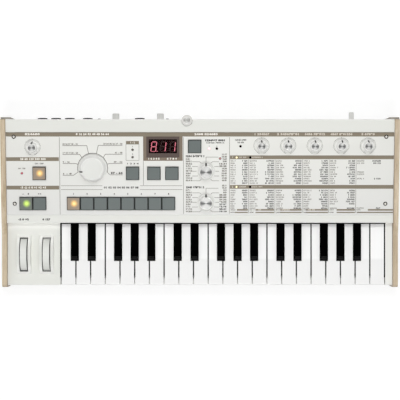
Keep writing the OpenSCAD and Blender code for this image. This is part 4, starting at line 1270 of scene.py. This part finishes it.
# lens radius, and for a lit lamp its middle and rim
lampLook = {
    "dim": {"radius": 1.55, "middle": (178, 92, 104), "rim": (120, 40, 52), "glow": 0.55},
    "pink": {"radius": 1.7, "middle": (255, 226, 230), "rim": (232, 96, 118), "glow": 1.0},
    "faint": {"radius": 0.95, "middle": (214, 150, 152), "rim": (170, 100, 104), "glow": 0.6},
    "yellow": {"radius": 1.35, "middle": (255, 252, 214), "rim": (196, 170, 62), "glow": 1.2},
    "off": {"radius": 1.5, "middle": (112, 108, 100)},
    "dark": {"radius": 1.9, "middle": (20, 5, 6)},
}
# the lamp in each place, left to right, and the heights of a lens and its stem, mm
lampColours = ["dim", "off", "off", "pink", "dark", "faint", "yellow", "yellow", "dark", "dark",
    "dark"]
lensShape = {"foot": -8.9, "shoulder": -1.2, "stem": 1.5, "rim": -0.6, "dome": 1.5}


# lens with a dome, on a stem that reaches the board
def lamps():
    shape = lensShape
    for colour, look in lampLook.items():
        if "glow" in look:
            material = glowing(colour + "Lamp", look["middle"], look["glow"], look["rim"])
        else:
            material = grained(colour + "Lamp", linear(*look["middle"]), 0.24,
                Specular_IOR_Level=0.1)
        radius, work = look["radius"] * mm, bmesh.new()
        stem = min(radius, shape["stem"] * mm)
        dome = [(radius * math.cos(math.radians(a)), (shape["rim"] + shape["dome"]
            * math.sin(math.radians(a))) * mm) for a in range(0, 91, 15)]
        dome[-1] = (0, dome[-1][1])
        outline = [(0, shape["foot"] * mm), (stem, shape["foot"] * mm),
            (stem, shape["shoulder"] * mm)] + dome
        for used, lamp in zip(lampColours, lampSpots):
            if used == colour:
                spin(work, outline, plateFrame @ Matrix.Translation((lamp.x, lamp.y, 0)), 24)
        piece = newPiece(colour + "Lamps", recalc(work), material, smooth=40)
        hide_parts("panel_leds")


displayDigits()
lamps()
print("display and lamps made")


pointerInk = grained("pointerInk", linear(4, 4, 4), 0.9, Specular_IOR_Level=0.0)
# start and end of a pointer as radii and its widths there, mm, and its lift and rows
pointerLook = {"small": (4.95, 7.2, 1.6, 1.5), "edit": (7.9, 11.5, 1.9, 1.9),
    "dial": (12.9, 17.8, 1.7, 2.0), "lift": 0.12, "rows": 30}
pointerTurns = {"control_knob_3": -4.0, "control_knob_4": -6.0, "control_knob_5": -2.0,
    "program_dial": 105.0}


# a painted bar that follows the knob's own skirt
def pointer(name, node, kind):
    start, end, width, tip = pointerLook[kind]
    work = bmesh.new()
    foot = footOf(node)
    turn = math.radians(pointerTurns.get(node, 0.0))
    away = Matrix.Rotation(turn, 3, plateOut) @ plateUp
    side = plateOut.cross(away).normalized()
    rows = []
    for i in range(pointerLook["rows"]):
        share = i / (pointerLook["rows"] - 1)
        radius = start + (end - start) * share
        half = (width + (tip - width) * share) / 2
        row = []
        for s in (-1, 1):
            above = foot + away * radius * mm + side * s * half * mm + plateOut * 0.05
            surface, facing = skin(node, above, -plateOut)
            if surface:
                row.append(work.verts.new(surface + facing * pointerLook["lift"] * mm))
        if len(row) == 2:
            rows.append(row)
    for a, b in zip(rows, rows[1:]):
        work.faces.new([a[0], a[1], b[1], b[0]])
    recalc(work)
    if sum(face.normal.dot(plateOut) for face in work.faces) < 0:
        bmesh.ops.reverse_faces(work, faces=work.faces)
    newPiece(name, work, pointerInk, rides=node)


for i, node in enumerate(smallKnobs):
    pointer(f"knobPointer{i}", node, "small")
for i, node in enumerate(editKnobs):
    pointer(f"editPointer{i}", node, "edit")
pointer("dialPointer", "program_dial", "dial")


# radius of the metal cap, mm, and the spread of its painted reflection wedges and the cap's shine
capLook = {"small": (4.7, 2.6, 0.7), "edit": (7.7, 5.5, 0.52)}


# finishes for the knobs with spun caps
def knobCaps():
    for group, kind in ((smallKnobs, "small"), (editKnobs, "edit")):
        radius, spread, metallic = capLook[kind]
        for node in group:
            foot = footOf(node)
            top = (skin(node, foot + plateOut * 0.05, -plateOut)[0] - foot).length
            dress(node, knobFinish(node + "Finish", node, radius * mm, top, spread, metallic))


knobCaps()
print("knobs finished")


# a screw head's outline from its foot: shares of its radius, and heights in mm
headOutline = ((0.5, 0.02), (1, 0.02), (1, 0.3), (0.84, 0.72), (0.56, 1.14), (0.5, 1.2), (0, 1.24))
crossLook = {"reach": 0.62, "half": 0.13, "floor": 0.5}


# domed head with a cross cut into it, standing on z = 0
def screwShape(head, deep):
    work, cutter = bmesh.new(), bmesh.new()
    r = head / 2 * mm
    spin(work, [(0, -deep * mm), (r * 0.5, -deep * mm)] + [(r * share, height * mm)
        for share, height in headOutline], steps=28)
    arm, half = r * crossLook["reach"], r * crossLook["half"]
    outline, quarter = [], [(half, half), (half, arm), (-half, arm)]
    for turn in range(4):
        outline += quarter
        quarter = [(-y, x) for x, y in quarter]
    prism(cutter, outline, crossLook["floor"] * mm, 3 * mm)
    shape = newPiece("screwBlank", recalc(work), rides=None)
    tool = newPiece("crossCutter", recalc(cutter), rides=None)
    cut = shape.modifiers.new("cross", "BOOLEAN")
    cut.object = tool
    cut.operation = "DIFFERENCE"
    mesh = takeMesh(shape)
    bpy.data.objects.remove(tool)
    return mesh


# one screw on each point of the given mesh, turned by chance
def screwTree():
    tree, given, end = nodeTree("screwSet", {"Screw": "Object", "Facing": "Vector", "Seed": 3,
        "Metal": "Material"})
    shape = add(tree, "GeometryNodeObjectInfo", {"Object": given["Screw"],
        "As Instance": True}).outputs["Geometry"]
    turn = add(tree, "FunctionNodeRandomValue", {3: 1.5, "Seed": given["Seed"]},
        data_type="FLOAT").outputs[1]
    aimed = add(tree, "GeometryNodeInstanceOnPoints", {"Points": given["Geometry"],
        "Instance": shape, "Rotation": given["Facing"]}).outputs[0]
    turned = add(tree, "GeometryNodeRotateInstances", {"Instances": aimed,
        "Rotation": joinAxes(tree, z=turn)}).outputs[0]
    endTree(tree, end, turned, given["Metal"])
    return tree


# screws on a list of points, as one piece
def screwSet(tree, name, places, facing, size, metal):
    points = bpy.data.meshes.new(name)
    points.from_pydata([tuple(p) for p in places], [], [])
    blank = newObject("screwShape", screwShape(*size))
    mesh = runTree(tree, name, points, Screw=blank, Facing=facing, Metal=metal)
    bpy.data.objects.remove(blank)
    return newPiece(name, mesh, metal, smooth=35)


# head and depth of each kind of screw, mm, and where the underside's screws stand, m
screwLook = {"panel": (5.4, 9.0), "underside": (6.4, 1.5), "across": (-0.24, -0.12, 0.12, 0.24)}


def screws():
    tree = screwTree()
    tops = []
    for low, high in islands("panel_screws"):
        local = plateBack @ ((low + high) / 2)
        tops.append(plateFrame @ Vector((local.x, local.y, 0)))
    heads = screwSet(tree, "panelScrewHeads", tops, (slope, 0, 0), screwLook["panel"],
        finishes["turned_steel"])
    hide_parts("panel_screws")
    low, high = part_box("bottom_case")
    under = [Vector((x, y, low.z)) for x in screwLook["across"]
        for y in (low.y + 8 * mm, high.y - 8 * mm)]
    screwSet(tree, "undersideScrews", under, (math.pi, 0, 0), screwLook["underside"],
        finishes["steel"])


screws()
print("screws placed")


viewLook = {"height": 2.05, "ahead": -0.0005, "lens": 136.65}
lightLook = {
    "behind": {"at": (0.0, 0.9, 1.9), "size": (0.8, 0.5), "power": 13.2},
    "front": {"at": (0.0, -0.95, 1.9), "size": (0.8, 0.5), "power": 13.2},
    "left": {"at": (-1.5, 0.2, 1.1), "size": (0.8, 1.0), "power": 2.4},
    "right": {"at": (1.5, 0.2, 1.1), "size": (0.8, 1.0), "power": 2.4},
}
worldLight = 0.36
floorLook = {"half": 3.0, "plain": 0.8, "seen": 0.4, "glow": 0.68}
white = (1, 1, 1, 1)


def cameraAndLight():
    camera = newObject("camera", bpy.data.cameras.new("camera"))
    camera.location = (0, viewLook["ahead"], viewLook["height"])
    camera.data.lens = viewLook["lens"]
    camera.data.sensor_width = 36
    bpy.context.scene.camera = camera
    for name, look in lightLook.items():
        lamp = bpy.data.lights.new(name, "AREA")
        lamp.shape = "RECTANGLE"
        lamp.size, lamp.size_y = look["size"]
        lamp.energy = look["power"]
        holder = newObject(name, lamp)
        holder.location = look["at"]
        holder.rotation_mode = "QUATERNION"
        holder.rotation_quaternion = (-Vector(look["at"])).to_track_quat("-Z", "Y")
        holder.visible_camera = False
    world = bpy.data.worlds.new("studio")
    world.use_nodes = True
    bpy.context.scene.world = world
    tree = world.node_tree
    soft = tree.nodes["Background"]
    feed(soft, Color=white, Strength=worldLight)
    plain = add(tree, "ShaderNodeBackground", {"Color": white, "Strength": 1.0})
    eitherWay(soft, plain, tree.nodes["World Output"])
    bpy.context.scene.view_settings.view_transform = "Standard"


# one shader for plain light, the other for rays from the camera, a reflection or glass
def eitherWay(plain, seen, output):
    tree = output.id_data
    path = add(tree, "ShaderNodeLightPath").outputs
    both = maths("MAXIMUM", path["Is Camera Ray"], path["Is Glossy Ray"])
    share = maths("MAXIMUM", both, path["Is Transmission Ray"])
    mixed = add(tree, "ShaderNodeMixShader", {0: share, 1: plain.outputs[0], 2: seen.outputs[0]})
    connect(output.inputs[0], mixed.outputs[0])


def floor():
    half = floorLook["half"]
    mesh = bpy.data.meshes.new("floor")
    mesh.from_pydata([(-half, -half, 0), (half, -half, 0), (half, half, 0), (-half, half, 0)],
        [], [(0, 1, 2, 3)])
    plane = newObject("floor", mesh)
    material = bpy.data.materials.new("paleFloor")
    material.use_nodes = True
    tree = material.node_tree
    tree.nodes.remove(tree.nodes["Principled BSDF"])
    soft, seen = [add(tree, "ShaderNodeBsdfDiffuse", {"Color": (tone, tone, tone, 1)})
        for tone in (floorLook["plain"], floorLook["seen"])]
    glow = add(tree, "ShaderNodeEmission", {"Color": white, "Strength": floorLook["glow"]})
    lifted = add(tree, "ShaderNodeAddShader", {0: seen.outputs[0], 1: glow.outputs[0]})
    eitherWay(soft, lifted, tree.nodes["Material Output"])
    mesh.materials.append(material)


cameraAndLight()
floor()
